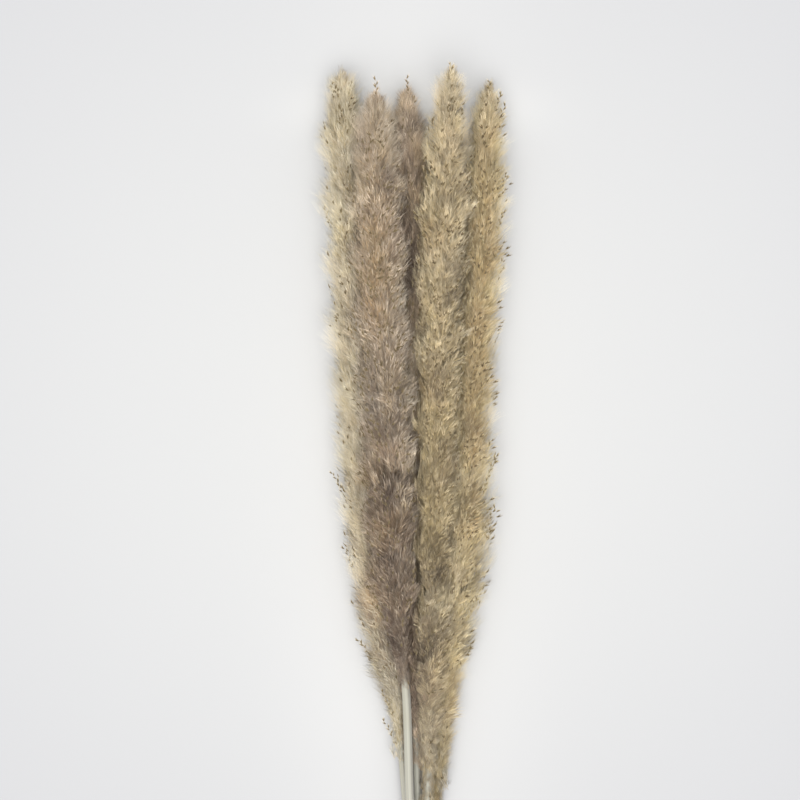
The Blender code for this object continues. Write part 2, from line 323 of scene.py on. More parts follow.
world = bpy.data.worlds.new("soft sky")
world.use_nodes = True
fill(world.node_tree.nodes["Background"], {"Color": "#FCFCFD", "Strength": SKY_STRENGTH})
bpy.context.scene.world = world
sun = bpy.data.lights.new("broad lamp", "SUN")
sun.energy = LAMP_STRENGTH
sun.angle = LAMP_BROAD
lamp = bpy.data.objects.new("broad lamp", sun)
lamp.rotation_euler = LAMP_TURN
bpy.context.scene.collection.objects.link(lamp)
print("sky", SKY_STRENGTH, "lamp", LAMP_STRENGTH)

# %% [markdown]
# Silky seed hair and papery husks
#
# Pampas hair is dry cellulose, near white at its tip and darker at its root, and so fine that light passes
# through it, so a translucent part is mixed in. The same material colours the husks, which are brown and
# dull, because both sit on one mesh. Two colour attributes are kept on every point. "growth" says how far
# along its hair the point lies, how much of a husk it is, how much painted light pales its side of the
# plume, and how lit its tuft and hair are painted. "tones" says how mauve, olive and rusty it is, and how
# much painted shade darkens it. The shader lays these over the hair's own colour one by one, most of them
# weaker towards the hair's tip, and then scales the colour by the painted light and shade. A noise in real
# millimetres adds small mauve and olive patches, and narrower pockets of painted shade.

# %% Plume material
HAIR_ROUGHNESS = 0.62
HAIR_SPECULAR = 0.3
LIGHT_THROUGH = 0.28
# The brightest painted highlight on a hair.
BEST_LIT = 1.13
PATCH_SIZE = (12 * MM, 28 * MM)
PATCH_STRENGTH = 0.3
POCKET_SIZE = (4.5 * MM, 10 * MM)
NOISE_SHOWS = {"From Min": 0.42, "From Max": 0.62}
MAUVE_SHIFT, OLIVE_SHIFT, POCKET_SHIFT = 0.0, 40.0, 80.0
LEAST_HUSK = 0.01

HAIR_COLOURS = {
    "outer_left": ("#D7C7A0", "#F6F0DD"),
    "inner_left": ("#CDB696", "#F0E4D2"),
    "middle": ("#D0B28E", "#F4E1C8"),
    "inner_right": ("#DAC391", "#F7E9C9"),
    "outer_right": ("#DAC58D", "#F5E9C8"),
}
# The last of these colours is painted shade, laid into grooves, hollows and pockets.
MAUVE, OLIVE, RUST, PAINTED_SHADE_BROWN = "#A28979", "#BEA86E", "#BE9A68", "#3D2D25"
# The colour of painted light that comes through the pale sides.
PAINTED_SIDE_LIGHT = "#F3EFDF"
TONE_AT_TIP = 0.42
HUSK_DARK = "#3F301B"
HUSK_PALE = "#82744F"


def soft_patches(tree, place, shift, size, strength):
    """A weight in soft patches, longer than wide, in the object's own millimetres."""
    wide, long = size
    moved = add_node(tree, "ShaderNodeMapping", {
        "Vector": place, "Location": (shift, 0, 0), "Scale": (1 / wide, 1 / long, 1 / wide),
    }).outputs["Vector"]
    noise = add_node(tree, "ShaderNodeTexNoise", {"Vector": moved, "Scale": 1.0, "Detail": 2.0})
    return add_node(
        tree, "ShaderNodeMapRange",
        {"Value": noise.outputs["Fac"], **NOISE_SHOWS, "To Max": strength},
    ).outputs["Result"]


def hair_material(name):
    """Dry seed hair of one plume, with its husks, its painted light and its painted shade."""
    made, tree, shader, out = new_material("dry silky seed hair " + name)
    place = add_node(tree, "ShaderNodeTexCoord").outputs["Object"]
    kept = []
    for label in ("growth", "tones"):
        read = add_node(tree, "ShaderNodeAttribute", attribute_name=label)
        split = add_node(tree, "ShaderNodeSeparateColor", {"Color": read.outputs["Color"]})
        kept += [split.outputs[c] for c in ("Red", "Green", "Blue")] + [read.outputs["Alpha"]]
    along, husk, pale, lit, mauve, olive, rust, painted_shade = kept
    fade = add_node(
        tree, "ShaderNodeMapRange", {"Value": along, "To Min": 1.0, "To Max": TONE_AT_TIP}
    ).outputs["Result"]
    colour, tip = HAIR_COLOURS[name]
    # The pockets and the last tone are painted shade; the pale side is painted light.
    for weight, tone, fades in (
        (along, tip, False),
        (soft_patches(tree, place, MAUVE_SHIFT, PATCH_SIZE, PATCH_STRENGTH), MAUVE, True),
        (soft_patches(tree, place, OLIVE_SHIFT, PATCH_SIZE, PATCH_STRENGTH), OLIVE, True),
        (soft_patches(tree, place, POCKET_SHIFT, POCKET_SIZE, FRONDS[name]["pockets"]), PAINTED_SHADE_BROWN, False),
        (pale, PAINTED_SIDE_LIGHT, False),
        (mauve, MAUVE, True),
        (olive, OLIVE, True),
        (rust, RUST, True),
        (painted_shade, PAINTED_SHADE_BROWN, False),
    ):
        if fades:
            weight = add_node(tree, "ShaderNodeMath", {0: weight, 1: fade}, operation="MULTIPLY").outputs[0]
        colour = add_node(
            tree, "ShaderNodeMix", {"Factor": weight, "A": colour, "B": tone}, data_type="RGBA"
        ).outputs["Result"]
    # Painted light and shade: the colour is scaled from the plume's darkest painted shade to a painted
    # highlight.
    light = add_node(
        tree, "ShaderNodeMapRange", {"Value": lit, "To Min": FRONDS[name]["shaded"], "To Max": BEST_LIT}
    ).outputs["Result"]
    colour = add_node(
        tree, "ShaderNodeVectorMath", {0: colour, 1: light}, operation="MULTIPLY"
    ).outputs[0]
    brown = add_node(
        tree, "ShaderNodeMix", {"Factor": husk, "A": HUSK_PALE, "B": HUSK_DARK}, data_type="RGBA"
    ).outputs["Result"]
    is_husk = add_node(tree, "ShaderNodeMath", {0: husk, 1: LEAST_HUSK}, operation="GREATER_THAN")
    colour = add_node(
        tree, "ShaderNodeMix", {"Factor": is_husk.outputs[0], "A": colour, "B": brown}, data_type="RGBA"
    ).outputs["Result"]
    fill(shader, {
        "Base Color": colour, "Roughness": HAIR_ROUGHNESS, "Specular IOR Level": HAIR_SPECULAR,
    })
    behind = add_node(tree, "ShaderNodeBsdfTranslucent", {"Color": colour})
    both = add_node(
        tree, "ShaderNodeMixShader", {0: LIGHT_THROUGH, 1: shader.outputs[0], 2: behind.outputs[0]}
    )
    fill(out, {"Surface": both.outputs[0]})
    return made


# %% [markdown]
# One husk and two hairs
#
# A husk is a boat of brown paper about 4 mm long. A hair is a ribbon a quarter of a millimetre
# wide: real hair is several times finer, but that would vanish between the render's pixels.
# All three start as a plane, whose far end is merged to a point. A straight hair is that single
# long triangle. The husk and the bent hair are also cut across, their root is merged to a
# point, and their middle is moved up or down. So each has only a few faces, because thousands
# of copies follow.

# %% Model the husk and the two hairs
HUSK_LENGTH = 4.0 * MM
HUSK_WIDTH = 0.68 * MM
HUSK_KEEL = 0.3 * MM
HUSK_CUTS = (0.25, 0.6)
HAIR_LENGTH = 12.0 * MM
HAIR_WIDTH = 0.27 * MM
HAIR_BEND = 1.0 * MM
HAIR_CUTS = (0.5,)
ROOT, MIDDLE, TIP = (-0.1, 0.1), (0.1, 0.9), (0.9, 1.1)


def numpy_points(mesh):
    """A mesh's points as one array."""
    points = np.empty(len(mesh.vertices) * 3, np.float32)
    mesh.vertices.foreach_get("co", points)
    return points.reshape(-1, 3).astype(np.float64)


def select_part(piece, length, part):
    """Selects, in edit mode, the points of a ribbon's root, middle or tip."""
    bpy.ops.mesh.select_all(action="DESELECT")
    mesh = bmesh.from_edit_mesh(piece.data)
    for v in mesh.verts:
        v.select_set(part[0] * length < v.co.y < part[1] * length)
    mesh.select_flush_mode()
    bmesh.update_edit_mesh(piece.data)


def model_ribbon(name, width, length, cuts=(), middle_up=0.0, husk=0.0):
    """A pointed ribbon along +Y from the origin. Every point notes how far along it lies."""
    bpy.ops.object.select_all(action="DESELECT")
    bpy.ops.mesh.primitive_plane_add(size=1.0, location=(0, length / 2, 0))
    piece = bpy.context.active_object
    piece.name = name
    piece.scale = (width, length, 1)
    bpy.ops.object.transform_apply(location=True, rotation=False, scale=True)
    bpy.ops.object.mode_set(mode="EDIT")
    for level in cuts:
        bpy.ops.mesh.select_all(action="SELECT")
        bpy.ops.mesh.bisect(plane_co=(0, level * length, 0), plane_no=(0, 1, 0), use_fill=False)
    if cuts:
        select_part(piece, length, ROOT)
        bpy.ops.mesh.merge(type="CENTER")
        select_part(piece, length, MIDDLE)
        bpy.ops.transform.translate(value=(0, 0, middle_up))
    select_part(piece, length, TIP)
    bpy.ops.mesh.merge(type="CENTER")
    bpy.ops.object.mode_set(mode="OBJECT")
    points = numpy_points(piece.data)
    values = np.zeros((len(points), 3), np.float32)
    values[:, 0] = points[:, 1] / length
    values[:, 1] = husk
    noted = piece.data.attributes.new("noted", "FLOAT_VECTOR", "POINT")
    noted.data.foreach_set("vector", values.ravel())
    return piece


husk = model_ribbon("husk", HUSK_WIDTH, HUSK_LENGTH, HUSK_CUTS, HUSK_KEEL, husk=1.0)
straight_hair = model_ribbon("straight hair", HAIR_WIDTH, HAIR_LENGTH)
bent_hair = model_ribbon("bent hair", HAIR_WIDTH, HAIR_LENGTH, HAIR_CUTS, -HAIR_BEND)
for made in (husk, straight_hair, bent_hair):
    print(made.name, len(made.data.vertices), "points", len(made.data.polygons), "faces")

# %% [markdown]
# Spikelets
#
# A spikelet is the smallest tuft of the plume: two husks that part like a beak, and a spray of hair from
# between them. Fourteen are gathered from copies, each with its own spread, so that no two neighbours look
# alike. Two carry husks for the bare sprigs, four carry husks for the fur's surface, three are thin wisps
# for a free edge and five are full soft tufts. Each hair gets a painted shade. A few hairs of each soft
# tuft are broad locks that catch the light, most painted pale as a highlight and some painted dark as in
# shade.

# %% Spread the parts of a spikelet
SPRIG_KINDS = range(0, 2)
HUSK_KINDS = range(2, 6)
WISP_KINDS = range(6, 9)
SOFT_KINDS = range(9, 14)
SPRIG_DARK = 0.8
HUSKS_DARK = 1.0
HAIRS = 29
LIT_HAIRS = 5
LIT_FIRST = 2
LIT_WIDTH = 1.8
LIT_FLAT = 0.4
LIT_LENGTH = (0.5, 0.85)
LIT_IN_SHADE = 0.35
WISP_WIDTH = 0.4
HAIRS_IN_SHADE = 0.3
AWNS = 4
AWN_LENGTH = (0.3, 0.5)
AWN_WIDTH = 1.1
AWNS_BELOW = 0.3 * MM
ROOT_SCATTER = 1.6 * MM
WISP_SCATTER = 2.8 * MM
ROOT_RUN = 8.0 * MM
GOLDEN_ANGLE = math.radians(137.508)
HUSK_SPREAD = math.radians(10)
HAIR_SPREAD = math.radians(22)
HAIR_ROLL = math.radians(50)
LIT_ROLL = math.radians(20)
LIT_LIFT = 0.5 * MM
AWN_SPREAD = math.radians(20)
PEDICEL_LENGTH = 8 * MM
PEDICEL_WIDTH = 0.8
PEDICEL_SHADE = 0.6

dice = np.random.default_rng(7)


def add_part(parts, master, turn, tilt, roll, size, location, shade):
    """Adds a copy, rolled about itself, tilted and turned about the tuft's axis, with its shade."""
    copy = master.copy()
    copy.data = master.data.copy()
    bpy.context.scene.collection.objects.link(copy)
    leaning = Euler((math.sin(turn) * tilt, 0.0, -math.cos(turn) * tilt)).to_matrix()
    copy.matrix_world = (leaning @ Matrix.Rotation(roll, 3, "Y")).to_4x4()
    copy.scale = size
    copy.location = location
    noted = copy.data.attributes["noted"].data
    values = np.empty(len(noted) * 3, np.float32)
    noted.foreach_get("vector", values)
    values[2::3] = shade
    noted.foreach_set("vector", values)
    parts.append(copy)


def spread_husks(parts, darkness):
    """Two husks that part like a beak."""
    for way in (0.0, math.pi):
        turn = way + dice.uniform(-0.4, 0.4)
        tilt = HUSK_SPREAD * dice.uniform(0.7, 1.3)
        size = (dice.uniform(0.8, 1.1), dice.uniform(0.8, 1.2), 1)
        roll = dice.uniform(-0.5, 0.5)
        location = (0, dice.uniform(0.0, 1.0) * MM, 0)
        add_part(parts, husk, turn, tilt, roll, size, location, darkness * dice.uniform(0.7, 1.0))


def spread_awns(parts):
    """A few short stiff hairs round a pair of husks, and the thin stalk that holds the pair."""
    size = (PEDICEL_WIDTH, PEDICEL_LENGTH / HAIR_LENGTH, 1)
    add_part(parts, straight_hair, 0.0, 0.0, 0.0, size, (0, -PEDICEL_LENGTH, 0), PEDICEL_SHADE)
    for i in range(AWNS):
        size = (AWN_WIDTH, dice.uniform(*AWN_LENGTH), 1)
        roll = dice.uniform(-LIT_ROLL, LIT_ROLL)
        tilt = AWN_SPREAD * dice.uniform(0.4, 1.0)
        location = (0, dice.uniform(0.0, 1.5) * MM, -AWNS_BELOW)
        add_part(parts, straight_hair, i * GOLDEN_ANGLE, tilt, roll, size, location, dice.uniform(0.8, 1.0))


def spread_hairs(parts, wisp):
    """A spray of hair with a few broader locks, each hair painted as lit or in shade."""
    for i in range(HAIRS):
        lit = i % (HAIRS // LIT_HAIRS) == LIT_FIRST and not wisp
        tilt = HAIR_SPREAD * math.sqrt((i + 0.5) / HAIRS)
        turn = i * GOLDEN_ANGLE
        if lit:
            roll = dice.uniform(-LIT_ROLL, LIT_ROLL)
            size = (LIT_WIDTH * dice.uniform(0.8, 1.2), dice.uniform(*LIT_LENGTH), LIT_FLAT)
        else:
            roll = math.pi / 2 - turn + dice.uniform(-HAIR_ROLL, HAIR_ROLL)
            size = ((WISP_WIDTH if wisp else 1) * dice.uniform(0.8, 1.3), dice.uniform(0.6, 1.2), 1)
        scatter = dice.normal(0, WISP_SCATTER if wisp else ROOT_SCATTER, 2)
        high = LIT_LIFT if lit else 0
        location = (scatter[0], dice.uniform(0, ROOT_RUN), scatter[1] + high)
        # Painted light and shade of each hair.
        if lit and dice.uniform() < LIT_IN_SHADE:
            shade = dice.uniform(0.0, 0.1)
        elif lit or wisp:
            shade = dice.uniform(0.85, 1.0)
        elif dice.uniform() < HAIRS_IN_SHADE:
            shade = dice.uniform(0.0, 0.15)
        else:
            shade = dice.uniform(0.35, 0.95)
        add_part(parts, bent_hair if lit else straight_hair, turn, tilt, roll, size, location, shade)


# %% Gather fourteen spikelets


def gather_spikelet(number):
    """The parts of one kind of spikelet, joined to one piece."""
    parts = []
    if number in SPRIG_KINDS or number in HUSK_KINDS:
        spread_husks(parts, SPRIG_DARK if number in SPRIG_KINDS else HUSKS_DARK)
        spread_awns(parts)
    else:
        spread_hairs(parts, wisp=number in WISP_KINDS)
    bpy.ops.object.select_all(action="DESELECT")
    for part in parts:
        part.select_set(True)
    bpy.context.view_layer.objects.active = parts[0]
    bpy.ops.object.join()
    spikelet = bpy.context.active_object
    spikelet.name = f"spikelet_{number}"
    bpy.ops.object.transform_apply(location=True, rotation=True, scale=True)
    return spikelet


def as_arrays(piece):
    """A piece's points, noted growth and triangles, and then the piece is removed."""
    mesh = piece.data
    mesh.calc_loop_triangles()
    corners = np.empty(len(mesh.loop_triangles) * 3, np.int32)
    mesh.loop_triangles.foreach_get("vertices", corners)
    noted = np.empty(len(mesh.vertices) * 3, np.float32)
    mesh.attributes["noted"].data.foreach_get("vector", noted)
    found = numpy_points(mesh), noted.reshape(-1, 3), corners.reshape(-1, 3)
    bpy.data.objects.remove(piece)
    return found


tufts = [as_arrays(gather_spikelet(n)) for n in range(SOFT_KINDS.stop)]
for master in (husk, straight_hair, bent_hair):
    bpy.data.objects.remove(master)
print("triangles in a spikelet:", [len(tuft[2]) for tuft in tufts])

# %% [markdown]
# How a plume grows
#
# The plume is a panicle: branches rise from the stalk, and short branchlets leave the branches
# and carry the spikelets. What shows from outside is the branchlets, so they are what is placed.
# Each is turned by the golden angle from the last and starts at its own depth, so they fill
# the plume evenly. All lean outwards and to the sides, which combs the hair into a feather's V.

# %% Where the branchlets stand round the stalk
DEPTH_TURN = 0.7549
BRANCHLETS = 1260
INNERMOST = 0.12
OUTERMOST = 1.0
FARTHEST = 1.05
FOOT_ABOVE = 5 * MM
FUR_REACH = 11 * MM
LUMP_LENGTHS = (22 * MM, 31 * MM)
LUMP_DEPTH = 0.16
LUMP_BELOW = 0.3
CROWN_LENGTH = 65 * MM


def stand_round(f, dice):
    """For each branchlet: how high and how deep its tip lies, to which side, and in what lump."""
    nth = np.arange(BRANCHLETS)
    share = (nth + dice.uniform(0.1, 0.9, BRANCHLETS)) / BRANCHLETS
    y = f["base"] + FOOT_ABOVE - f["skirt"] + (f["fur"] + f["skirt"] - FUR_REACH - f["base"]) * share
    turn = nth * GOLDEN_ANGLE + dice.normal(0, 0.15, BRANCHLETS)
    deep = INNERMOST + (OUTERMOST - INNERMOST) * np.sqrt(nth * DEPTH_TURN % 1.0)
    sideways, upward = np.cos(turn), np.sin(turn)
    lump = 0.5 * np.sin(2 * math.pi * y / LUMP_LENGTHS[0] + 3 * turn + f["seed"])
    lump += 0.5 * np.sin(2 * math.pi * y / LUMP_LENGTHS[1] - 2 * turn)
    deep = np.minimum(deep * (1 + LUMP_DEPTH * lump * np.maximum(upward, LUMP_BELOW)), FARTHEST)
    y = y - f["drop"] * deep**2 * smooth_step(1 - (f["fur"] - y) / CROWN_LENGTH)
    return y, deep, sideways, upward, lump


# %% [markdown]
# Dark hollows, clumps, partings and sprigs
#
# Even growth looks like a brush, and a real plume is ragged. Where branches part, one looks into hollows,
# and the tufts round them are painted dark, as in shade. Branchlets that crowd together make a clump of one
# painted shade, most of all in the lower half, which was pressed in the bunch, and there the darkest clumps
# get painted shade like the hollows. At some places the fur is parted so far that the deeper plume shows,
# and here and there a sprig of bare spikelets stands past the edge.
# Hollows and clumps are left to the dice. The partings (x, y and radius) and the sprigs (x, y, length and
# how many degrees they lean) are listed in millimetres, where the bunch has them.

# %% Ragged fur
HOLLOWS = 44
HOLLOWS_LOW = 2.4
HOLLOWS_OUT = 0.85
HOLLOW_SIZE = np.array((4.5, 8.0, 7.0)) * MM
CLUMPS = 330
CLUMP_LONG = 0.6
SPRIGS = {
    "outer_left": (
        (-60.5, 65, 16, 35), (-52.0, 12, 17, 28), (-42.0, -53, 32, 36), (-66.0, 252, 14, 22),
        (-25.0, -90, 20, 25), (-24.5, -110, 20, 32), (-55.0, 343, 10, 3), (-47.0, 340, 10, -15),
        (-61.0, 340, 10, 15),
    ),
    "inner_left": ((-29.5, 340, 12, 5),),
    "middle": ((-8.0, 344, 14, 6), (-2.0, 328, 12, -25)),
    "inner_right": ((23.2, 350, 13, 4), (14.5, 322, 12, 25), (10.0, 290, 14, 28), (31.0, 318, 12, -25)),
    "outer_right": (
        (55.5, 77, 30, -22), (54.0, 40, 22, -22), (45.0, -18, 22, -30), (60.5, 249, 14, -22),
        (62.0, 324, 12, -30), (59.0, 332, 12, -25), (50.5, 341, 13, 4), (62.0, 275, 12, -20),
    ),
}
PARTINGS = {
    "inner_left": (
        (-19, 65, 7), (-17, 42, 7), (-22, 92, 5), (-14, 12, 6), (-1, -20, 5), (-3, -34, 5),
        (-4, -78, 4),
    ),
    "inner_right": ((13, -8, 5), (6, -14, 5), (3, -30, 5), (6, -62, 5), (1, -78, 4)),
    "outer_right": ((27, 190, 5), (36, 75, 5)),
    "outer_left": (
        (-45, 160, 5), (-35, 0, 5), (-13, -126, 5), (-14, -117, 5), (-16, -108, 5), (-18, -99, 4),
    ),
}


def hollows(f, place, dice):
    """How deep each place lies in one of the hollows between the locks, from 0 to 1."""
    y = f["base"] + (f["fur"] - f["base"]) * dice.uniform(0, 1, HOLLOWS) ** HOLLOWS_LOW
    turn = dice.uniform(0, math.pi, HOLLOWS)
    _, side, up = stem_axes(f, y)
    out = weighted(np.cos(turn), side, np.sin(turn), up)
    middles = middle_line(f, y) + HOLLOWS_OUT * girth(f, y)[:, None] * out
    off = (place[:, None] - middles[None]) / HOLLOW_SIZE
    return np.exp(-(off**2).sum(-1)).max(1)


def clump_shades(place, dice):
    """From -1 to 1, the same for all branchlets whose tips crowd round the same one."""
    stretched = place * (1.0, CLUMP_LONG, 1.0)
    chosen = stretched[dice.integers(0, len(place), CLUMPS)]
    nearest = np.linalg.norm(stretched[:, None] - chosen[None], axis=-1).argmin(1)
    return dice.uniform(-1, 1, CLUMPS)[nearest]


print("sprigs:", sum(map(len, SPRIGS.values())), "partings:", sum(map(len, PARTINGS.values())))

# %% [markdown]
# Growing the branchlets
#
# Each branchlet needs its tip, its length, the way it leans and how far it flares off the stalk. Those at a
# free edge end nearer to it, and get thin wisps later on. Branchlets in a hollow or a parting are left out,
# and the ones round a hollow are painted dark, as in shade.

# %% Grow the branchlets of a plume
BRANCHLET_LENGTH = 15 * MM
BRANCHLET_BEND = 0.7
HAIR_REACH = 4.6 * MM
RIM_REACH = 2.0 * MM
RIM_DEEP = 0.8
RIM_OPEN = 0.5
LEAST_ROOM = 0.3
SIDE_PULL = 2.0
SIDE_TURNS = 0.35
SWEPT_BELOW = 220 * MM
SWEPT_FADE = 70 * MM
UP_PULL = 0.7
FLARE_ROOT = math.radians(15)
FLARE_EDGE = math.radians(27)
FLARE_LOBE = math.radians(6)
CROWN_FLARE = 0.35
HOLLOW_EMPTY = 0.75
PARTED_DEEP = 0.35
CLUMPS_ABOVE = 0.16
CLUMPS_BELOW = 0.35
# Painted shade for the dark clumps of the lower half.
CLUMP_PAINTED_SHADE = 0.9
DARK_FROM = 0.2
LOW_TOP = 80 * MM
LOW_TOP_FADE = 100 * MM
LOW_FOOT = -180 * MM
LOW_FOOT_FADE = 80 * MM
LUMP_SHADE = 0.3
SHADE_PLAY = 0.25
SPRIG_ABOVE = 3 * MM
SPRIG_SHADE = 0.6


def grow_branchlets(name, dice):
    """The tip of every branchlet of one plume, its length, the way it leans and its painted shade."""
    f = FRONDS[name]
    y, deep, sideways, upward, lump = stand_round(f, dice)
    _, side, up = stem_axes(f, y)
    open_side = np.where(y > f["fur"] - CROWN_LENGTH, np.abs(sideways), f["open"] * sideways)
    rim = (deep > RIM_DEEP) & (open_side > RIM_OPEN)
    reach = np.where(rim, RIM_REACH, HAIR_REACH * f["tuft"])
    room = np.maximum(girth(f, y) - reach, LEAST_ROOM * girth(f, y))
    tip = middle_line(f, y) + (deep * room)[:, None] * weighted(sideways, side, upward, up)
    swept = f["swept"] * smooth_step((SWEPT_BELOW - y) / SWEPT_FADE)
    sway = SIDE_PULL * deep * sideways + swept + SIDE_TURNS * dice.uniform(-1, 1, BRANCHLETS)
    lift = UP_PULL * deep * upward + dice.normal(0, 0.1, BRANCHLETS)
    away = unit(weighted(sway, side, lift, up))
    flare = FLARE_ROOT + FLARE_EDGE * deep + FLARE_LOBE * lobe(f, y)
    flare = flare * dice.uniform(0.7, 1.3, BRANCHLETS)
    flare *= CROWN_FLARE + (1 - CROWN_FLARE) * smooth_step((f["fur"] - y) / CROWN_LENGTH)
    length = BRANCHLET_LENGTH * dice.uniform(0.75, 1.25, BRANCHLETS)
    length = np.minimum(length, y - f["base"] + f["skirt"] + 4 * MM)
    hollow = hollows(f, tip, dice)
    kept = hollow * dice.uniform(0.5, 1.5, BRANCHLETS) < HOLLOW_EMPTY
    for x, at, wide in PARTINGS.get(name, ()):
        off = np.hypot(tip[:, 0] - x * MM, tip[:, 1] - at * MM) / (wide * MM)
        kept &= (off > 1) | (upward < 0) | (deep < PARTED_DEEP)
    patch = clump_shades(tip, dice)
    low = smooth_step((LOW_TOP - y) / LOW_TOP_FADE) * smooth_step((y - LOW_FOOT) / LOW_FOOT_FADE)
    clump = patch * (CLUMPS_ABOVE + CLUMPS_BELOW * low)
    # Painted shade: the darkest clumps of the lower half are darkened like the hollows.
    hollow = np.maximum(hollow, CLUMP_PAINTED_SHADE * low * np.clip(-patch - DARK_FROM, 0, 1))
    # Painted light and shade: swollen lumps are lighter, sunk ones darker, and each clump has its own
    # shade.
    play = dice.uniform(-SHADE_PLAY, SHADE_PLAY, BRANCHLETS)
    shade = np.clip(0.5 + LUMP_SHADE * lump + clump + play, 0, 1)
    grown = dict(
        tip=tip, away=away, flare=flare, length=length, rim=rim,
        sprig=np.zeros(BRANCHLETS, bool), shade=shade, hollow=hollow,
    )
    return {key: values[kept] for key, values in grown.items()}


def add_sprigs(name, grown):
    """Adds the bare sprigs of one plume to its branchlets."""
    for x, at, long, lean in SPRIGS[name]:
        high = middle_line(FRONDS[name], np.array([at]) * MM)[0, 2] + SPRIG_ABOVE
        sprig = dict(
            tip=[[x * MM, at * MM, high]], away=[[-math.copysign(1, lean), 0, 0.1]],
            flare=[abs(math.radians(lean))], length=[long * MM], rim=[False], sprig=[True],
            shade=[SPRIG_SHADE], hollow=[0.0],
        )
        grown = {key: np.append(values, sprig[key], 0) for key, values in grown.items()}
    return grown


def on_branchlet(f, b, which, t):
    """Places on branchlets, t of the way up each, and their direction there."""
    stem, _, _ = stem_axes(f, b["tip"][which, 1])
    back = b["length"][which] * (1 - t)
    bent = b["flare"][which] * (1 - BRANCHLET_BEND / 2 * (1 - t))
    rising = weighted(np.cos(bent), stem, np.sin(bent), b["away"][which])
    place = b["tip"][which] - back[:, None] * rising
    bent = b["flare"][which] * (1 - BRANCHLET_BEND * (1 - t))
    return place, weighted(np.cos(bent), stem, np.sin(bent), b["away"][which])


# %% [markdown]
# Branchlet stalks
#
# Each branchlet has a thread-thin stalk that shows only between the tufts and along a bare
# sprig. A three-sided cone is enough for it. Its colour is that of a hair near its root, so the
# material needs no part of its own. Nine numbers are kept on every point of a plume: the four
# of "growth", the four of "tones", and how loosely it keeps to its plume's border.

# %% Branchlet stalks
STALK_RADIUS = 0.16 * MM
SPRIG_RADIUS = 0.25 * MM
STALK_CORNERS = (0.5, 2.6, 4.7)
KEPT_NUMBERS = 9


def stalk_growth(count, along, shade):
    """What is kept on the points of a stalk, which is coloured as one place on a hair."""
    growth = np.zeros((count, KEPT_NUMBERS))
    growth[:, 0] = along
    growth[:, 3] = shade
    return growth


def branchlet_stalks(f, b):
    """A thin three-sided cone for each branchlet."""
    count = len(b["tip"])
    which = np.arange(count)
    root, along = on_branchlet(f, b, which, np.zeros(count))
    tip, _ = on_branchlet(f, b, which, np.ones(count))
    side = unit(np.cross(along, (0.0, 0.0, 1.0)))
    up = np.cross(side, along)
    wide = np.where(b["sprig"], SPRIG_RADIUS, STALK_RADIUS)[:, None]
    corners = [root + wide * (math.cos(a) * side + math.sin(a) * up) for a in STALK_CORNERS]
    points = np.stack([*corners, tip], 1).reshape(-1, 3)
    faces = np.array([(0, 1, 3), (1, 2, 3), (2, 0, 3)])
    faces = (faces[None] + np.arange(count)[:, None, None] * 4).reshape(-1, 3)
    return points, stalk_growth(len(points), 0.1, 0.4), faces


# %% [markdown]
# Weathered patches, painted shade and painted light on the bunch
#
# A dried bunch isn't one straw colour. Grey mauve shows where the hair is thin over its branch, rust along
# the middle of a plume where the husks sit, and olive where it was cut green. Where the fur is open or lies
# in a deep groove, a dark brown is painted in as shade. Between them stand paler hair and painted light.
# Each is a soft oval: x, y, half width, half length, all in millimetres, and its strength. They are placed
# and kept on the points, so the colour follows the fur and survives an export.

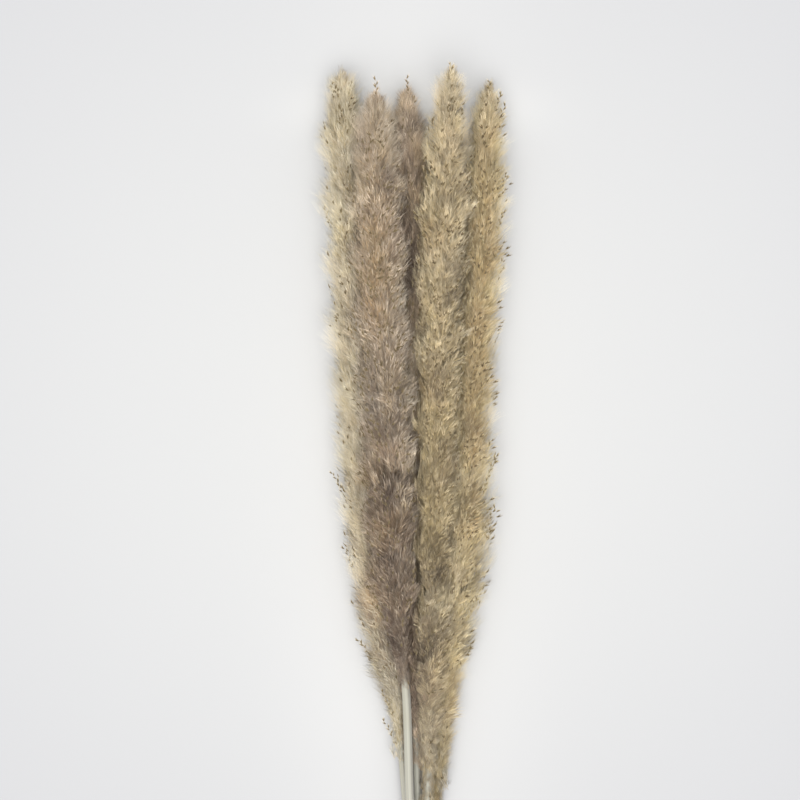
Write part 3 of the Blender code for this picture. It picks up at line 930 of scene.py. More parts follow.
# %% Weathered patches, painted shade and painted light
TONE_SPOTS = {
    "mauve": (
        (-42, 186, 7, 42, 0.25), (-18, 235, 6.3, 31, 0.6), (-15, 165, 7, 35, 0.35),
        (-47, 4, 11.2, 42, 0.45), (-21, 4, 13, 63, 0.8), (-12, -52, 11.2, 28, 0.8),
        (0, -94, 7.7, 42, 0.95), (-10, 298, 7, 35, 0.3), (-36, -38, 8.4, 35, 0.7),
        (-47, 165, 5.6, 28, 0.3), (-26, 88, 11.2, 28, 0.6), (-39, 291, 4.2, 28, 0.4),
    ),
    "olive": (
        (-53, 319, 7, 31, 0.5), (-47, 221, 5.6, 28, 0.4), (10, 32, 8.4, 42, 0.5),
        (-51, 123, 7, 13, 0.5), (-52, 67, 6.3, 11, 0.4), (8, 88, 7, 21, 0.4), (50, 4, 5.6, 28, 0.3),
        (-30, -80, 5.6, 21, 0.4), (18, 95, 4.2, 21, 0.4), (-44, 277, 4.2, 28, 0.4),
    ),
    "rust": (
        (-30, 291, 5.6, 42, 0.35), (-29, 221, 6.3, 42, 0.6), (-30, 179, 6.3, 21, 0.8),
        (47, 305, 5.6, 28, 0.4), (46, 228, 7, 42, 0.6), (42, 158, 7, 42, 0.6),
        (36, 88, 6.3, 35, 0.6), (36, 32, 5.6, 18, 0.6), (13, 228, 6.3, 8, 0.6),
        (8, 120, 5.6, 14, 0.4), (-32, 60, 9.8, 8, 0.8), (-22, 22, 9.8, 10, 0.7),
        (-29, -24, 7, 15, 0.8), (22, -115, 7, 35, 0.6), (-52, 340, 4.2, 7, 0.5),
    ),
    # Painted shade: dark brown in grooves, hollows and open fur.
    "painted_shade": (
        (-19, 46, 8, 9, 0.95), (-25, 60, 9.8, 8, 0.5), (13, -10, 7, 9, 0.92),
        (0, -20, 4.9, 14, 0.9), (3, -67, 3.5, 10, 0.8), (7, -58, 4, 9, 0.85), (0, -80, 3, 12, 0.35),
        (-5.5, 208, 4.8, 56, 0.9), (27, 193, 4.2, 20, 0.85), (-26, -10, 4.2, 8, 0.3),
        (-24, 98, 5.6, 18, 0.45), (-16, 95, 5.6, 14, 0.35), (19, 15, 3.5, 10, 0.4),
        (19.5, 76, 4.5, 13, 0.45), (12, 46, 4, 14, 0.25), (3, 46, 2.4, 56, 0.55),
        (-18, 4, 10, 60, 0.25), (-28, 123, 5.6, 14, 0.25), (-12, -54, 7, 24, 0.5),
        (-16, -4, 6, 14, 0.35), (8, 8, 8.4, 14, 0.3), (-18, 18, 9, 12, 0.3),
        (-9, 263, 4.2, 21, 0.4), (5, -10, 5, 10, 0.25), (22, 165, 2.8, 21, 0.4), (3, 127, 2.8, 28, 0.4),
    ),
}
# Paler hair with painted light: the tones are taken away, the tuft paled and painted better lit.
PALE_AND_LIT_SPOTS = (
    (-14, 185, 5, 30, 0.7), (-8, 110, 5, 45, 0.6), (-39, 40, 5, 60, 0.15), (-45, 190, 6, 20, 0.35),
    (24, -25, 7, 30, 0.15), (-16, 250, 5, 22, 0.3), (14, 262, 6, 40, 0.15), (20, 200, 7, 22, 0.15),
    (25, 214, 10, 14, 0.15), (-33, 105, 9, 14, 0.35), (27, 20, 5, 60, 0.35), (18, -42, 14, 14, 0.15),
    (28, 312, 5, 14, 0.5), (6, 312, 5, 16, 0.6), (5, 283, 5, 16, 0.5), (30, 270, 4, 20, 0.35),
    (-47, 284, 4, 14, 0.3), (-25, 284, 5, 14, 0.35), (27, 228, 5, 16, 0.4), (-3, 142, 5, 18, 0.45),
    (40, 58, 12, 12, 0.4), (13, -27, 8, 12, 0.4), (4, -130, 8, 26, 0.5), (22, -120, 10, 24, 0.3),
    (-12, -115, 6, 22, 0.4),
)
RUST_COLUMN, PAINTED_SHADE_COLUMN = 2, 3


def spot_weight(place, spots):
    """How strongly a set of soft ovals covers each place, from 0 to 1."""
    rest = np.ones(len(place))
    for x, y, wide, long, strength in spots:
        off = ((place[:, 0] / MM - x) / wide) ** 2 + ((place[:, 1] / MM - y) / long) ** 2
        rest *= 1 - strength * np.exp(-off)
    return 1 - rest


print("patches:", {tone: len(spots) for tone, spots in TONE_SPOTS.items()}, "pale_and_lit", len(PALE_AND_LIT_SPOTS))

# %% [markdown]
# Tufts along the branchlets
#
# Every branchlet carries four tufts, left and right by turns, and a sprig has one for each
# 2.4 mm. A tuft has three axes: along its hair, across it, and one that faces outwards, which
# its broad locks lie square to. So their flat sides show and take the light.

# %% Set the tufts
SPIKELETS_EACH = 4
SPRIG_STEP = 2.4 * MM
SIDE_LEAN = math.radians(20)
SPRIG_LEAN = 1.1
FACING_UP = 0.25


def set_tufts(f, b, dice):
    """For each tuft: its branchlet, its place, its three axes and how it lies to the stalk."""
    number = np.where(b["sprig"], np.round(b["length"] / SPRIG_STEP).astype(int), SPIKELETS_EACH)
    which = np.repeat(np.arange(len(number)), number)
    nth = np.concatenate([np.arange(n) for n in number])
    t = (nth + dice.uniform(0.2, 0.8, len(nth))) / number[which]
    place, along = on_branchlet(f, b, which, t)
    _, side, up = stem_axes(f, place[:, 1])
    offset = (place - middle_line(f, place[:, 1])) / girth(f, place[:, 1])[:, None]
    outward = unit(offset + FACING_UP * up)
    outward = np.where(b["sprig"][which, None], up, outward)
    across = unit(np.cross(along, outward))
    lean = SIDE_LEAN * dice.uniform(0.4, 1.6, len(t)) * np.where(nth % 2, 1, -1)
    lean = np.where(b["sprig"][which], SPRIG_LEAN * lean, lean)
    axis = unit(along + np.tan(lean)[:, None] * across + dice.normal(0.1, 0.12, len(t))[:, None] * outward)
    facing = unit(outward - (outward * axis).sum(1)[:, None] * axis)
    axes = np.stack([np.cross(axis, facing), axis, facing], axis=-1)
    return which, place, axes, offset, (offset * side).sum(1), (offset * up).sum(1)


# %% [markdown]
# Size, colour and kind of each tuft
#
# Tufts are smaller near a plume's tip and foot. The sides of a plume, and its outer hair near the tip, are
# painted paler, as light that comes through them, and its middle is rusty. Where paler hair with painted
# light is laid, the tones are taken away and the tuft is painted paler and better lit, and in hollows it is
# painted dark as in shade. All weights are drawn by the dice within their range, tuft by tuft, so no patch
# has an edge.

# %% Colour the tufts
MIDDLE_COLUMN = 0.38
SIDE_FROM, SIDE_FADE = 0.4, 0.5
CROWN_OUT = 0.6
BORDER_PLAY = 2.5 * MM
SPRIG_FREE = -20 * MM
TONE_EDGE = 2.5 * MM
END_SIZE = 0.55
TIP_FADE = 45 * MM
FOOT_FADE = 60 * MM
HUSKS_AT_TIP = 70 * MM
PALE_AT_TIP = 0.38
PALE_AND_LIT_PALENESS = 0.4
PALE_AND_LIT_LIFT = 0.35
# Painted shade in the hollows.
HOLLOW_PAINTED_SHADE = 0.7
BRANCHLET_SHADE, TUFT_SHADE = 0.6, 0.4


def draw(dice, kinds, count):
    """Picks a kind of spikelet for each of count tufts."""
    return dice.integers(kinds.start, kinds.stop, count)


def overlaid(a, b):
    """The weight of two layers, one over the other."""
    return 1 - (1 - a) * (1 - b)


def colour_tufts(f, b, dice, which, place, distance, sideways):
    """For each tuft: its size, paleness, kind, shade, looseness and tones."""
    count, total = len(b["tip"]), len(which)
    sprig = b["sprig"][which]
    to_tip = f["fur"] - place[:, 1]
    from_foot = place[:, 1] - f["base"] + f["skirt"]
    grown = smooth_step(to_tip / TIP_FADE) * smooth_step(from_foot / FOOT_FADE)
    size = f["tuft"] * dice.uniform(0.82, 1.15, total) * (END_SIZE + (1 - END_SIZE) * grown)
    # Painted light: the sides, where light comes through, and the outer hair near the tip are paler.
    at_side = smooth_step((np.abs(sideways) - SIDE_FROM) / SIDE_FADE)
    pale = at_side * np.where(sideways < 0, *f["pale"]) * dice.uniform(0.6, 1.1, total)
    near_tip = 1 - smooth_step(to_tip / HUSKS_AT_TIP)
    pale = np.maximum(pale, PALE_AT_TIP * near_tip * smooth_step(distance / CROWN_OUT))
    # Paler hair with painted light at the listed patches.
    pale_and_lit = spot_weight(place, PALE_AND_LIT_SPOTS) * dice.uniform(0.5, 1.2, total)
    pale = np.maximum(pale, PALE_AND_LIT_PALENESS * pale_and_lit)
    blurred = place + dice.normal(0, TONE_EDGE, (count, 3))[which]
    tones = np.stack([spot_weight(blurred, spots) for spots in TONE_SPOTS.values()], 1)
    rusty = f["rust"] * np.exp(-((sideways / MIDDLE_COLUMN) ** 2)) * dice.uniform(0.3, 1, count)[which]
    tones[:, RUST_COLUMN] = overlaid(tones[:, RUST_COLUMN], rusty)
    # Painted shade in the hollows and the dark clumps.
    tones[:, PAINTED_SHADE_COLUMN] = overlaid(tones[:, PAINTED_SHADE_COLUMN], HOLLOW_PAINTED_SHADE * b["hollow"][which])
    tones *= 1 - np.clip(pale_and_lit, 0, 1)[:, None]
    kind = np.where(b["rim"][which], draw(dice, WISP_KINDS, total), draw(dice, SOFT_KINDS, total))
    kind = np.where(sprig, draw(dice, SPRIG_KINDS, total), kind)
    pale = np.where(sprig, 0, pale)
    size = np.where(sprig, dice.uniform(0.65, 1.0, total), size)
    own = dice.uniform(0, 1, total)
    # Painted light and shade of the tuft.
    shade = np.clip(BRANCHLET_SHADE * b["shade"][which] + TUFT_SHADE * own + PALE_AND_LIT_LIFT * pale_and_lit, 0, 1)
    loose = np.where(b["sprig"], SPRIG_FREE, dice.normal(0, BORDER_PLAY, count))[which]
    return size, pale, kind, shade, loose, tones


# %% [markdown]
# Husks on the fur
#
# The husks of a plume sit on its surface, between the hairs, as dark specks. Setting them in
# the tufts would bury them, so pairs of husks are set beside a share of the tufts: out at the
# fur's surface, a little proud of it on top and sunk at the sides. There are most near the tip
# and fewest low down, where the fur is long.

# %% Set husks on the fur
HUSK_SHARE = 0.85
HUSKS_OUT = 0.4
HUSKS_LOW = 0.35
HUSKS_FROM = -60 * MM
HUSKS_RISE = 120 * MM
PROUD_MM = 2.2
SUNK_MM = 2.0


def set_spikelets(f, b, dice):
    """Where each spikelet sits, its axes, size, paleness, kind, shade, looseness and tones."""
    which, place, axes, offset, sideways, risen = set_tufts(f, b, dice)
    distance = np.linalg.norm(offset, axis=1)
    spots = [place, axes, *colour_tufts(f, b, dice, which, place, distance, sideways)]
    near_tip = 1 - smooth_step((f["fur"] - place[:, 1]) / HUSKS_AT_TIP)
    husky = HUSK_SHARE * (f["husks"] + (1 - f["husks"]) * near_tip) * (distance > HUSKS_OUT)
    husky *= HUSKS_LOW + (1 - HUSKS_LOW) * smooth_step((place[:, 1] - HUSKS_FROM) / HUSKS_RISE)
    husky = np.where(b["rim"][which] | b["sprig"][which], 0, husky)
    bearing = np.flatnonzero(dice.uniform(0, 1, len(which)) < husky)
    count = len(bearing)
    on_top = np.clip(risen / distance, -1, 1)[bearing] ** 2
    proud = dice.uniform(-1, 1, count) + PROUD_MM * on_top * dice.uniform(0, 1, count)
    proud -= SUNK_MM * (1 - on_top)
    surface = girth(f, place[bearing, 1]) + proud * MM
    _, turned, _, pale, _, shade, loose, tones = (values[bearing] for values in spots)
    husks = [
        middle_line(f, place[bearing, 1]) + surface[:, None] * unit(offset[bearing]),
        turned, dice.uniform(0.75, 1.15, count), pale, draw(dice, HUSK_KINDS, count),
        shade, loose, tones,
    ]
    return [np.concatenate(pair) for pair in zip(spots, husks)]


# %% [markdown]
# Copying the spikelets
#
# Six thousand objects a plume would be slow, so the copies are made as arrays: the points of each gathered
# spikelet, turned by the tuft's axes, scaled and moved. What each point is coloured by is worked out here
# too, with its painted light and shade. Locks painted as lit take less of the tones and of the painted
# shade, so they stay bright.

# %% Copy the spikelets to their places
LIT_ABOVE = 0.84
LIT_SPARED = np.array((0.7, 0.7, 0.7, 0.3))
HAIR_OWN_SHADE, TUFT_LENDS = 0.6, 0.4
HUSK_LEAST = 0.6


def copy_tufts(spots):
    """Every spikelet's points and faces, as copies of the gathered ones."""
    place, axes, size, pale, kind, shade, loose, tones = spots
    bodies = []
    for k, (points, noted, faces) in enumerate(tufts):
        mine = np.flatnonzero(kind == k)
        copies = np.einsum("nij,pj->npi", axes[mine], points) * size[mine, None, None] + place[mine, None]
        lit = shade[mine, None]
        growth = np.empty((len(mine), len(points), KEPT_NUMBERS))
        growth[..., 0] = noted[:, 0]
        growth[..., 1] = noted[:, 1] * noted[:, 2] * (HUSK_LEAST + (1 - HUSK_LEAST) * lit)
        growth[..., 2] = pale[mine, None]
        growth[..., 3] = TUFT_LENDS * lit + HAIR_OWN_SHADE * noted[:, 2]
        growth[..., 4:8] = tones[mine, None] * (1 - (noted[:, 2:] > LIT_ABOVE) * LIT_SPARED)
        growth[..., 8] = loose[mine, None]
        offsets = np.arange(len(mine)) * len(points)
        bodies.append((
            copies.reshape(-1, 3), growth.reshape(-1, KEPT_NUMBERS),
            (faces[None] + offsets[:, None, None]).reshape(-1, 3),
        ))
    return joined(bodies)


def joined(bodies):
    """Several bodies' points, kept numbers and faces as one body."""
    starts = np.cumsum([0] + [len(points) for points, _, _ in bodies])
    points, growth, faces = zip(*bodies)
    faces = [f + start for f, start in zip(faces, starts)]
    return np.concatenate(points), np.concatenate(growth), np.concatenate(faces)


# %% [markdown]
# Plumes press on each other
#
# Five soft plumes in a bunch share the room between them, and the table flattens the lower
# three. So every point is pushed back softly from the border with the next plume, which lies
# nearer to the thinner one, and from the table. Along the two deep grooves of the bunch the
# fur stays off that border by its own amount, given at a few places along y in millimetres,
# and the border itself is moved towards the pair's second plume.

# %% Press a plume into its room
SOFTNESS = 4.0 * MM
MIXING = 2.5 * MM
GROOVES = {
    ("inner_left", "inner_right"): dict(
        y=(-100, -60, 10, 60, 130, 170, 270, 310),
        off=(-1.5, 0.5, 0.0, -0.5, -1.0, 0.5, 2.4, -1.5),
        moved=(0, 0.5, 3.5, 4.8, 3.8, 2.2, 0, 0),
    ),
    ("inner_right", "outer_right"): dict(
        y=(60, 160, 200, 220), off=(-1.5, 0.3, 0.3, -1.5), moved=(0, 0, 0, 0)
    ),
}
TABLE_SOFTNESS = 3.0 * MM
TOP_BEGINS = 52.0 * MM
TOP_ROOM = 8.0 * MM
STEM_ROOM = 0.5 * MM
CORE_SHARE = 0.27
PAST_TIP = 5 * MM
PAST_TIP_FADE = 10 * MM


def groove(one, other, y):
    """How far one frond stays off its border with the other at y: less than nothing where they mix."""
    for pair, row in GROOVES.items():
        if {one, other} == set(pair):
            toward = 1 if one == pair[0] else -1
            stays_off = np.array(row["off"]) - toward * np.array(row["moved"])
            return np.interp(y, np.array(row["y"]) * MM, stays_off * MM)
    return -MIXING


def press(name, points, loose):
    """The points, pushed back from the other fronds, the table and the top of the bunch."""
    f = FRONDS[name]
    y = points[:, 1]
    middle = middle_line(f, y)
    for other_name, other in FRONDS.items():
        if other is f:
            continue
        gap = middle_line(other, y) - middle
        apart = np.linalg.norm(gap, axis=1)
        way = gap / apart[:, None]
        mine, theirs = girth(f, y), girth(other, y)
        hard = np.where(y < other["base"], other["culm"], CORE_SHARE * theirs)
        border = np.minimum(apart * mine / (mine + theirs), apart - hard - STEM_ROOM)
        begin = border - groove(name, other_name, y) - loose - SOFTNESS
        over = np.maximum(((points - middle) * way).sum(1) - begin, 0)
        push = over - SOFTNESS * (1 - np.exp(-over / SOFTNESS))
        push *= smooth_step((other["tip"] + PAST_TIP - y) / PAST_TIP_FADE)
        points -= way * push[:, None]
    high = points[:, 2] > TOP_BEGINS
    points[high, 2] = TOP_BEGINS + TOP_ROOM * (1 - np.exp(-(points[high, 2] - TOP_BEGINS) / TOP_ROOM))
    low = points[:, 2] < TABLE_SOFTNESS
    depth = (points[low, 2] - TABLE_SOFTNESS) / TABLE_SOFTNESS
    points[low, 2] = TABLE_SOFTNESS * np.exp(depth)
    return points


# %% [markdown]
# The stalk inside each plume
#
# Deep in the fur runs the stalk, with the feet of the branches close round it. Without it one would see
# through a hollow to the table. It is a rough tapering tube of rings, coloured as the root of a hair and
# painted darker still, as deep in shade.

# %% The stalk inside each plume
CORE_SIDES = 10
CORE_STEP = 8 * MM
CORE_FROM = 6 * MM
CORE_STOPS = 20 * MM
CORE_FOOT = 0.9
CORE_WIDE = 0.2
CORE_TAPER = 210 * MM
CORE_THINNEST = 0.08
CORE_ROUGH = 0.18


def plume_core(f, dice):
    """The stalk with the close-set feet of its branches, as one rough tapering body."""
    count = round((f["tip"] - CORE_STOPS - f["base"]) / CORE_STEP)
    y = np.linspace(f["base"] + CORE_FROM, f["tip"] - CORE_STOPS, count)
    _, side, up = stem_axes(f, y)
    rising = smooth_step((y - f["base"]) / f["shoulder"])
    closing = np.maximum(smooth_step((f["tip"] - y) / CORE_TAPER), CORE_THINNEST)
    wide = (CORE_FOOT * f["culm"] + (CORE_WIDE * f["girth"] - f["culm"]) * rising) * closing
    rings, faces = [], []
    low = np.arange(count - 1) * CORE_SIDES
    for k in range(CORE_SIDES):
        a = 2 * math.pi * k / CORE_SIDES
        rough = 1 + CORE_ROUGH * dice.uniform(-1, 1, count) * rising
        rings.append(middle_line(f, y) + (wide * rough)[:, None] * (math.cos(a) * side + math.sin(a) * up))
        n = (k + 1) % CORE_SIDES
        faces.append(np.stack([low + k, low + n, low + CORE_SIDES + n], 1))
        faces.append(np.stack([low + k, low + CORE_SIDES + n, low + CORE_SIDES + k], 1))
    points = np.stack(rings, 1).reshape(-1, 3)
    # Its low painted light makes it dark, as deep in shade.
    return points, stalk_growth(len(points), 0.0, 0.2), np.concatenate(faces)


# %% [markdown]
# One mesh for each plume
#
# Tufts, stalks and core are joined to one mesh, pressed into their room, and given their
# material. Flat ribbons shade harshly by their own faces. So each point's normal is the one of
# the fur as a whole, outwards from the stalk and lifted a little, and faces are turned to agree
# with it.

# %% Dress the five plumes
LIFTED_NORMAL = 2.0


def mesh_from(name, points, growth, faces, facing):
    """A smooth mesh whose points keep their growth and tones, and face the given way."""
    a, b, c = (points[faces[:, k]] for k in range(3))
    wrong = (np.cross(b - a, c - a) * facing[faces].sum(1)).sum(1) < 0
    faces[wrong] = faces[wrong][:, ::-1]
    mesh = bpy.data.meshes.new(name)
    mesh.vertices.add(len(points))
    mesh.vertices.foreach_set("co", points.astype(np.float32).ravel())
    mesh.loops.add(faces.size)
    mesh.loops.foreach_set("vertex_index", faces.astype(np.int32).ravel())
    mesh.polygons.add(len(faces))
    mesh.polygons.foreach_set("loop_start", np.arange(0, faces.size, 3, dtype=np.int32))
    mesh.update(calc_edges=True)
    for label, columns in (("growth", growth[:, :4]), ("tones", growth[:, 4:8])):
        kept = mesh.color_attributes.new(label, "FLOAT_COLOR", "POINT")
        kept.data.foreach_set("color", columns.astype(np.float32).ravel())
    mesh.shade_smooth()
    mesh.normals_split_custom_set_from_vertices(facing)
    return mesh


def make_plume(name, f):
    """Grows, joins, presses and colours one plume."""
    dice = np.random.default_rng(f["seed"])
    b = add_sprigs(name, grow_branchlets(name, dice))
    spots = set_spikelets(f, b, dice)
    points, growth, faces = joined([copy_tufts(spots), branchlet_stalks(f, b), plume_core(f, dice)])
    points = press(name, points, growth[:, 8])
    facing = unit(points - middle_line(f, points[:, 1]))
    facing[:, 2] += LIFTED_NORMAL * (0.5 + 0.5 * facing[:, 2])
    mesh = mesh_from("soft_plume_" + name, points, growth, faces, unit(facing))
    plume = bpy.data.objects.new("soft_plume_" + name, mesh)
    bpy.context.scene.collection.objects.link(plume)
    plume.data.materials.append(hair_material(name))
    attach(plume, "root")
    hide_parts("plume_" + name)
    print(plume.name, len(spots[0]), "spikelets,", len(faces), "triangles")


for name, f in FRONDS.items():
    make_plume(name, f)

# %% [markdown]
# Stems
#
# A dry culm is a stiff cane with a hard, faintly glossy skin, greyish cream, with fine lines
# along it where the fibres run. The lines are a noise on the cane's own UV map, stretched
# along it: 26 round a culm of 18 mm, so 0.7 mm each, which is coarser than life so that they
# show. A second, slower noise stains it. The cut end shows a pale pith with darker bundles,
# set 0.7 mm apart.

# %% Stem material
FIBRES = (26.0, 1.6, 1.0)
STAINS = (2.0, 9.0, 1.0)
CANE_DARK, CANE_PALE, CANE_STAIN = "#706E66", "#868477", "#726B55"
PITH_DARK, PITH_PALE = "#7C6340", "#CDC1A3"
BUNDLE_SPACING = 0.7 * MM


def culm_material():
    """Weathered cane skin with fibre lines and stains."""
    made, tree, shader, _ = new_material("dry cane skin")
    spread = add_node(tree, "ShaderNodeUVMap", uv_map="UVMap").outputs["UV"]
    tone = CANE_DARK
    for scale, detail, shows, colour in (
        (FIBRES, 3.0, {"From Min": 0.35, "From Max": 0.65}, CANE_PALE),
        (STAINS, 2.0, {"From Min": 0.5, "From Max": 0.75, "To Max": 0.5}, CANE_STAIN),
    ):
        moved = add_node(tree, "ShaderNodeMapping", {"Vector": spread, "Scale": scale}).outputs["Vector"]
        noise = add_node(tree, "ShaderNodeTexNoise", {"Vector": moved, "Scale": 1.0, "Detail": detail})
        weight = add_node(tree, "ShaderNodeMapRange", {"Value": noise.outputs["Fac"], **shows})
        tone = add_node(
            tree, "ShaderNodeMix", {"Factor": weight.outputs["Result"], "A": tone, "B": colour},
            data_type="RGBA",
        ).outputs["Result"]
    fill(shader, {"Base Color": tone, "Roughness": 0.6, "Sheen Weight": 0.2, "Sheen Roughness": 0.5})
    return made


def pith_material():
    """Cut pith: pale and matt, with the ends of darker bundles."""
    made, tree, shader, _ = new_material("cut cane pith")
    place = add_node(tree, "ShaderNodeTexCoord").outputs["Object"]
    dots = add_node(tree, "ShaderNodeTexVoronoi", {"Vector": place, "Scale": 1 / BUNDLE_SPACING})
    shows = add_node(
        tree, "ShaderNodeMapRange", {"Value": dots.outputs["Distance"], "From Min": 0.15, "From Max": 0.3}
    ).outputs["Result"]
    tone = add_node(
        tree, "ShaderNodeMix", {"Factor": shows, "A": PITH_DARK, "B": PITH_PALE}, data_type="RGBA"
    )
    fill(shader, {"Base Color": tone.outputs["Result"], "Roughness": 0.85})
    return made


# %% [markdown]
# One straight cane
#
# Each culm has one ringed node, and a cut end. One straight cane is modelled from a cylinder of
# radius and length 1: it is cut into rings, with closer ones at the node, and its near end is
# inset twice, for the skin's edge and the sunk pith. Five copies then follow the fronds, each
# swollen at its node and thinner inside its plume.

# %% Model one straight cane
CANE_SIDES = 24
CANE_RINGS = 44
NODE_AT = 0.22
NODE_RINGS = np.array((-0.02, -0.012, -0.006, 0, 0.006, 0.012, 0.02))
SKIN_THICK = 0.12
PITH_EDGE = 0.05
PITH_SUNK = 0.0015


def model_cane():
    """A cane of radius 1 from y = 0 to 1, ringed all along, with its cut end hollowed."""
    bpy.ops.object.select_all(action="DESELECT")
    bpy.ops.mesh.primitive_cylinder_add(
        vertices=CANE_SIDES, radius=1.0, depth=1.0, location=(0, 0.5, 0), rotation=(-math.pi / 2, 0, 0)
    )
    cane = bpy.context.active_object
    cane.name = "cane"
    bpy.ops.object.transform_apply(location=True, rotation=True, scale=True)
    bpy.ops.object.mode_set(mode="EDIT")
    for level in np.concatenate([np.arange(1, CANE_RINGS) / CANE_RINGS, NODE_AT + NODE_RINGS]):
        bpy.ops.mesh.select_all(action="SELECT")
        bpy.ops.mesh.bisect(plane_co=(0, level, 0), plane_no=(0, 1, 0), use_fill=False)
    bpy.ops.mesh.select_mode(type="FACE")
    bpy.ops.mesh.select_all(action="DESELECT")
    mesh = bmesh.from_edit_mesh(cane.data)
    mesh.faces.ensure_lookup_table()
    for face in mesh.faces:
        face.select_set(len(face.verts) == CANE_SIDES and face.calc_center_median().y < 0.5)
    bmesh.update_edit_mesh(cane.data)
    bpy.ops.mesh.inset(thickness=SKIN_THICK)
    cane.data.materials.append(culm_material())
    cane.data.materials.append(pith_material())
    cane.active_material_index = 1
    bpy.ops.object.material_slot_assign()
    bpy.ops.mesh.inset(thickness=PITH_EDGE)
    bpy.ops.transform.translate(value=(0, PITH_SUNK, 0))
    bpy.ops.object.mode_set(mode="OBJECT")
    bpy.ops.object.shade_smooth_by_angle(angle=math.radians(50))
    return cane


cane = model_cane()
print(cane.name, len(cane.data.polygons), "faces")

# %% Bend five canes to the fronds
NODE_ABOVE_CUT = 42 * MM
NODE_SPACING = 7 * MM
NODE_SWELL = 0.13
NODE_REACH = 2.2 * MM
INSIDE_PLUME = 36 * MM
THINNED = 0.3


def make_culm(name, f):
    """A copy of the cane, from a frond's cut end up into its plume."""
    culm = cane.copy()
    culm.data = cane.data.copy()
    culm.name = culm.data.name = "cane_" + name
    bpy.context.scene.collection.objects.link(culm)
    points = numpy_points(culm.data)
    node = f["cut"] + NODE_ABOVE_CUT + NODE_SPACING * (f["seed"] % 5)
    y = np.interp(points[:, 1], (0, NODE_AT, 1), (f["cut"], node, f["base"] + INSIDE_PLUME))
    _, side, up = stem_axes(f, y)
    swell = 1 + NODE_SWELL * np.clip(1 - ((y - node) / NODE_REACH) ** 2, 0, 1)
    thinned = np.where(y > f["base"], 1 - THINNED * (y - f["base"]) / INSIDE_PLUME, 1)
    wide = f["culm"] * swell * thinned
    bent = middle_line(f, y) + (points[:, :1] * side + points[:, 2:] * up) * wide[:, None]
    culm.data.vertices.foreach_set("co", bent.astype(np.float32).ravel())
    culm.data.update()
    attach(culm, "root")
    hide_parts("culm_" + name)
    print(culm.name, f"{(y.max() - y.min()) / MM:.0f} mm")


for name, f in FRONDS.items():
    make_culm(name, f)
bpy.data.objects.remove(cane)

# %% [markdown]
# Rubber band
#
# The stems are held by a tan rubber band, wound four times, with the last turn crossing back
# over the others. It is cut from a rubber tube, so it is a flat strip with a dull sheen. A
# bevelled curve would twist on such a path, so rings of eight corners are set square to the
# path round the stems, and joined to one closed strip.

# %% Path of the band round the stems
BAND_HOLDS = ("outer_right", "inner_right", "inner_left", "outer_left")
ROUND_STEPS = 720


def round_stems(gap, count):
    """Points and outward directions of a tight loop round the stems, evenly spaced."""
    angles = np.linspace(0, 2 * math.pi, ROUND_STEPS, endpoint=False)
    way = np.stack([np.cos(angles), np.sin(angles)], 1)
    reaches = []
    for f in (FRONDS[n] for n in BAND_HOLDS):
        middle = middle_line(f, np.array([BAND_Y]))[0, [0, 2]]
        reaches.append(way @ middle + f["culm"] + gap)
    reach = np.max(reaches, axis=0)
    turned = np.stack([-way[:, 1], way[:, 0]], 1)
    path = weighted(reach, way, np.gradient(reach, angles), turned)
    steps = np.linalg.norm(np.roll(path, -1, 0) - path, axis=1)
    run = np.concatenate([[0], np.cumsum(steps)])
    at = np.interp(np.linspace(0, run[-1], count, endpoint=False), run, np.arange(ROUND_STEPS + 1))
    which = at.astype(int) % ROUND_STEPS
    return path[which], way[which]


# %% Wind the band
BAND_TURNS = 4
BAND_STEPS = 72
TURN_WIDTH = 2.0 * MM
STRIP_WIDE = 1.7 * MM
STRIP_THICK = 0.9 * MM
STRIP_CORNERS = ((-1, -0.6), (-0.8, -1), (0.8, -1), (1, -0.6), (1, 0.6), (0.8, 1), (-0.8, 1), (-1, 0.6))
BAND_GAP = 0.3 * MM
PLAIN_TURNS = BAND_TURNS - 0.5
CROSSING_FROM = BAND_TURNS - 0.45
CROSSING_LASTS = 0.4
CROSSING_OVER = 1.05


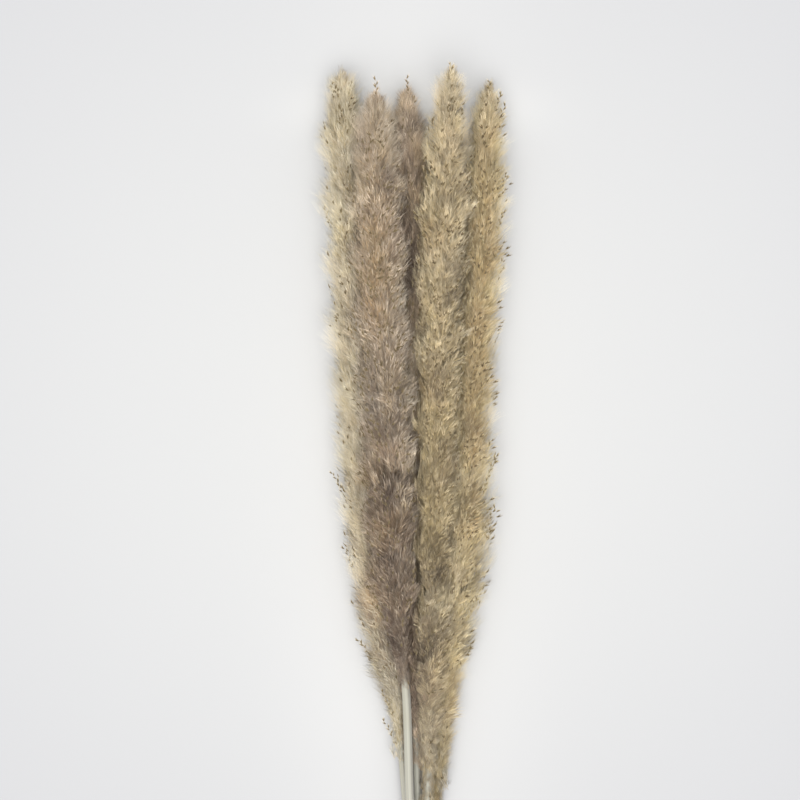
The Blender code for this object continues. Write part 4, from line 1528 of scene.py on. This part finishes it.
def make_band():
    """Four turns of flat strip round the stems, the last crossing back over the others."""
    made, _, shader, _ = new_material("tan rubber")
    fill(shader, {"Base Color": "#996D38", "Roughness": 0.5})
    corners = np.array(STRIP_CORNERS) * (STRIP_WIDE / 2, STRIP_THICK / 2)
    count = BAND_STEPS * BAND_TURNS
    nth = np.arange(count)
    low, way = round_stems(BAND_GAP + STRIP_THICK / 2, BAND_STEPS)
    low, way = np.tile(low, (BAND_TURNS, 1)), np.tile(way, (BAND_TURNS, 1))
    turn = nth / BAND_STEPS
    crossing = smooth_step((turn - CROSSING_FROM) / CROSSING_LASTS)
    along = (np.minimum(turn, PLAIN_TURNS) - PLAIN_TURNS / 2) * TURN_WIDTH
    along = along * (1 - crossing) - PLAIN_TURNS / 2 * TURN_WIDTH * crossing
    hump = np.sin(math.pi * np.clip((turn - PLAIN_TURNS) / (BAND_TURNS - PLAIN_TURNS), 0, 1)) ** 0.5
    outward = np.stack([way[:, 0], np.zeros(count), way[:, 1]], 1)
    middle = np.stack([low[:, 0], BAND_Y + along, low[:, 1]], 1)
    middle = middle + outward * (hump * STRIP_THICK * CROSSING_OVER)[:, None]
    rings = middle[:, None] + corners[None, :, :1] * (0, 1, 0) + corners[None, :, 1:] * outward[:, None]
    sides = len(corners)
    k = np.arange(sides)
    n = (k + 1) % sides
    here = (nth * sides)[:, None]
    after = ((nth + 1) % count * sides)[:, None]
    faces = np.concatenate([
        np.stack([here + k, here + n, after + n], -1).reshape(-1, 3),
        np.stack([here + k, after + n, after + k], -1).reshape(-1, 3),
    ])
    mesh = bpy.data.meshes.new("rubber_band_turns")
    mesh.from_pydata(rings.reshape(-1, 3).tolist(), [], faces.tolist())
    band = bpy.data.objects.new("rubber_band_turns", mesh)
    bpy.context.scene.collection.objects.link(band)
    bpy.ops.object.select_all(action="DESELECT")
    band.select_set(True)
    bpy.context.view_layer.objects.active = band
    bpy.ops.object.mode_set(mode="EDIT")
    bpy.ops.mesh.select_all(action="SELECT")
    bpy.ops.mesh.normals_make_consistent(inside=False)
    bpy.ops.object.mode_set(mode="OBJECT")
    bpy.ops.object.shade_smooth_by_angle(angle=math.radians(40))
    mesh.materials.append(made)
    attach(band, "root")
    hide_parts("rubber_band")
    print(band.name, BAND_TURNS, "turns,", len(faces), "triangles")


make_band()
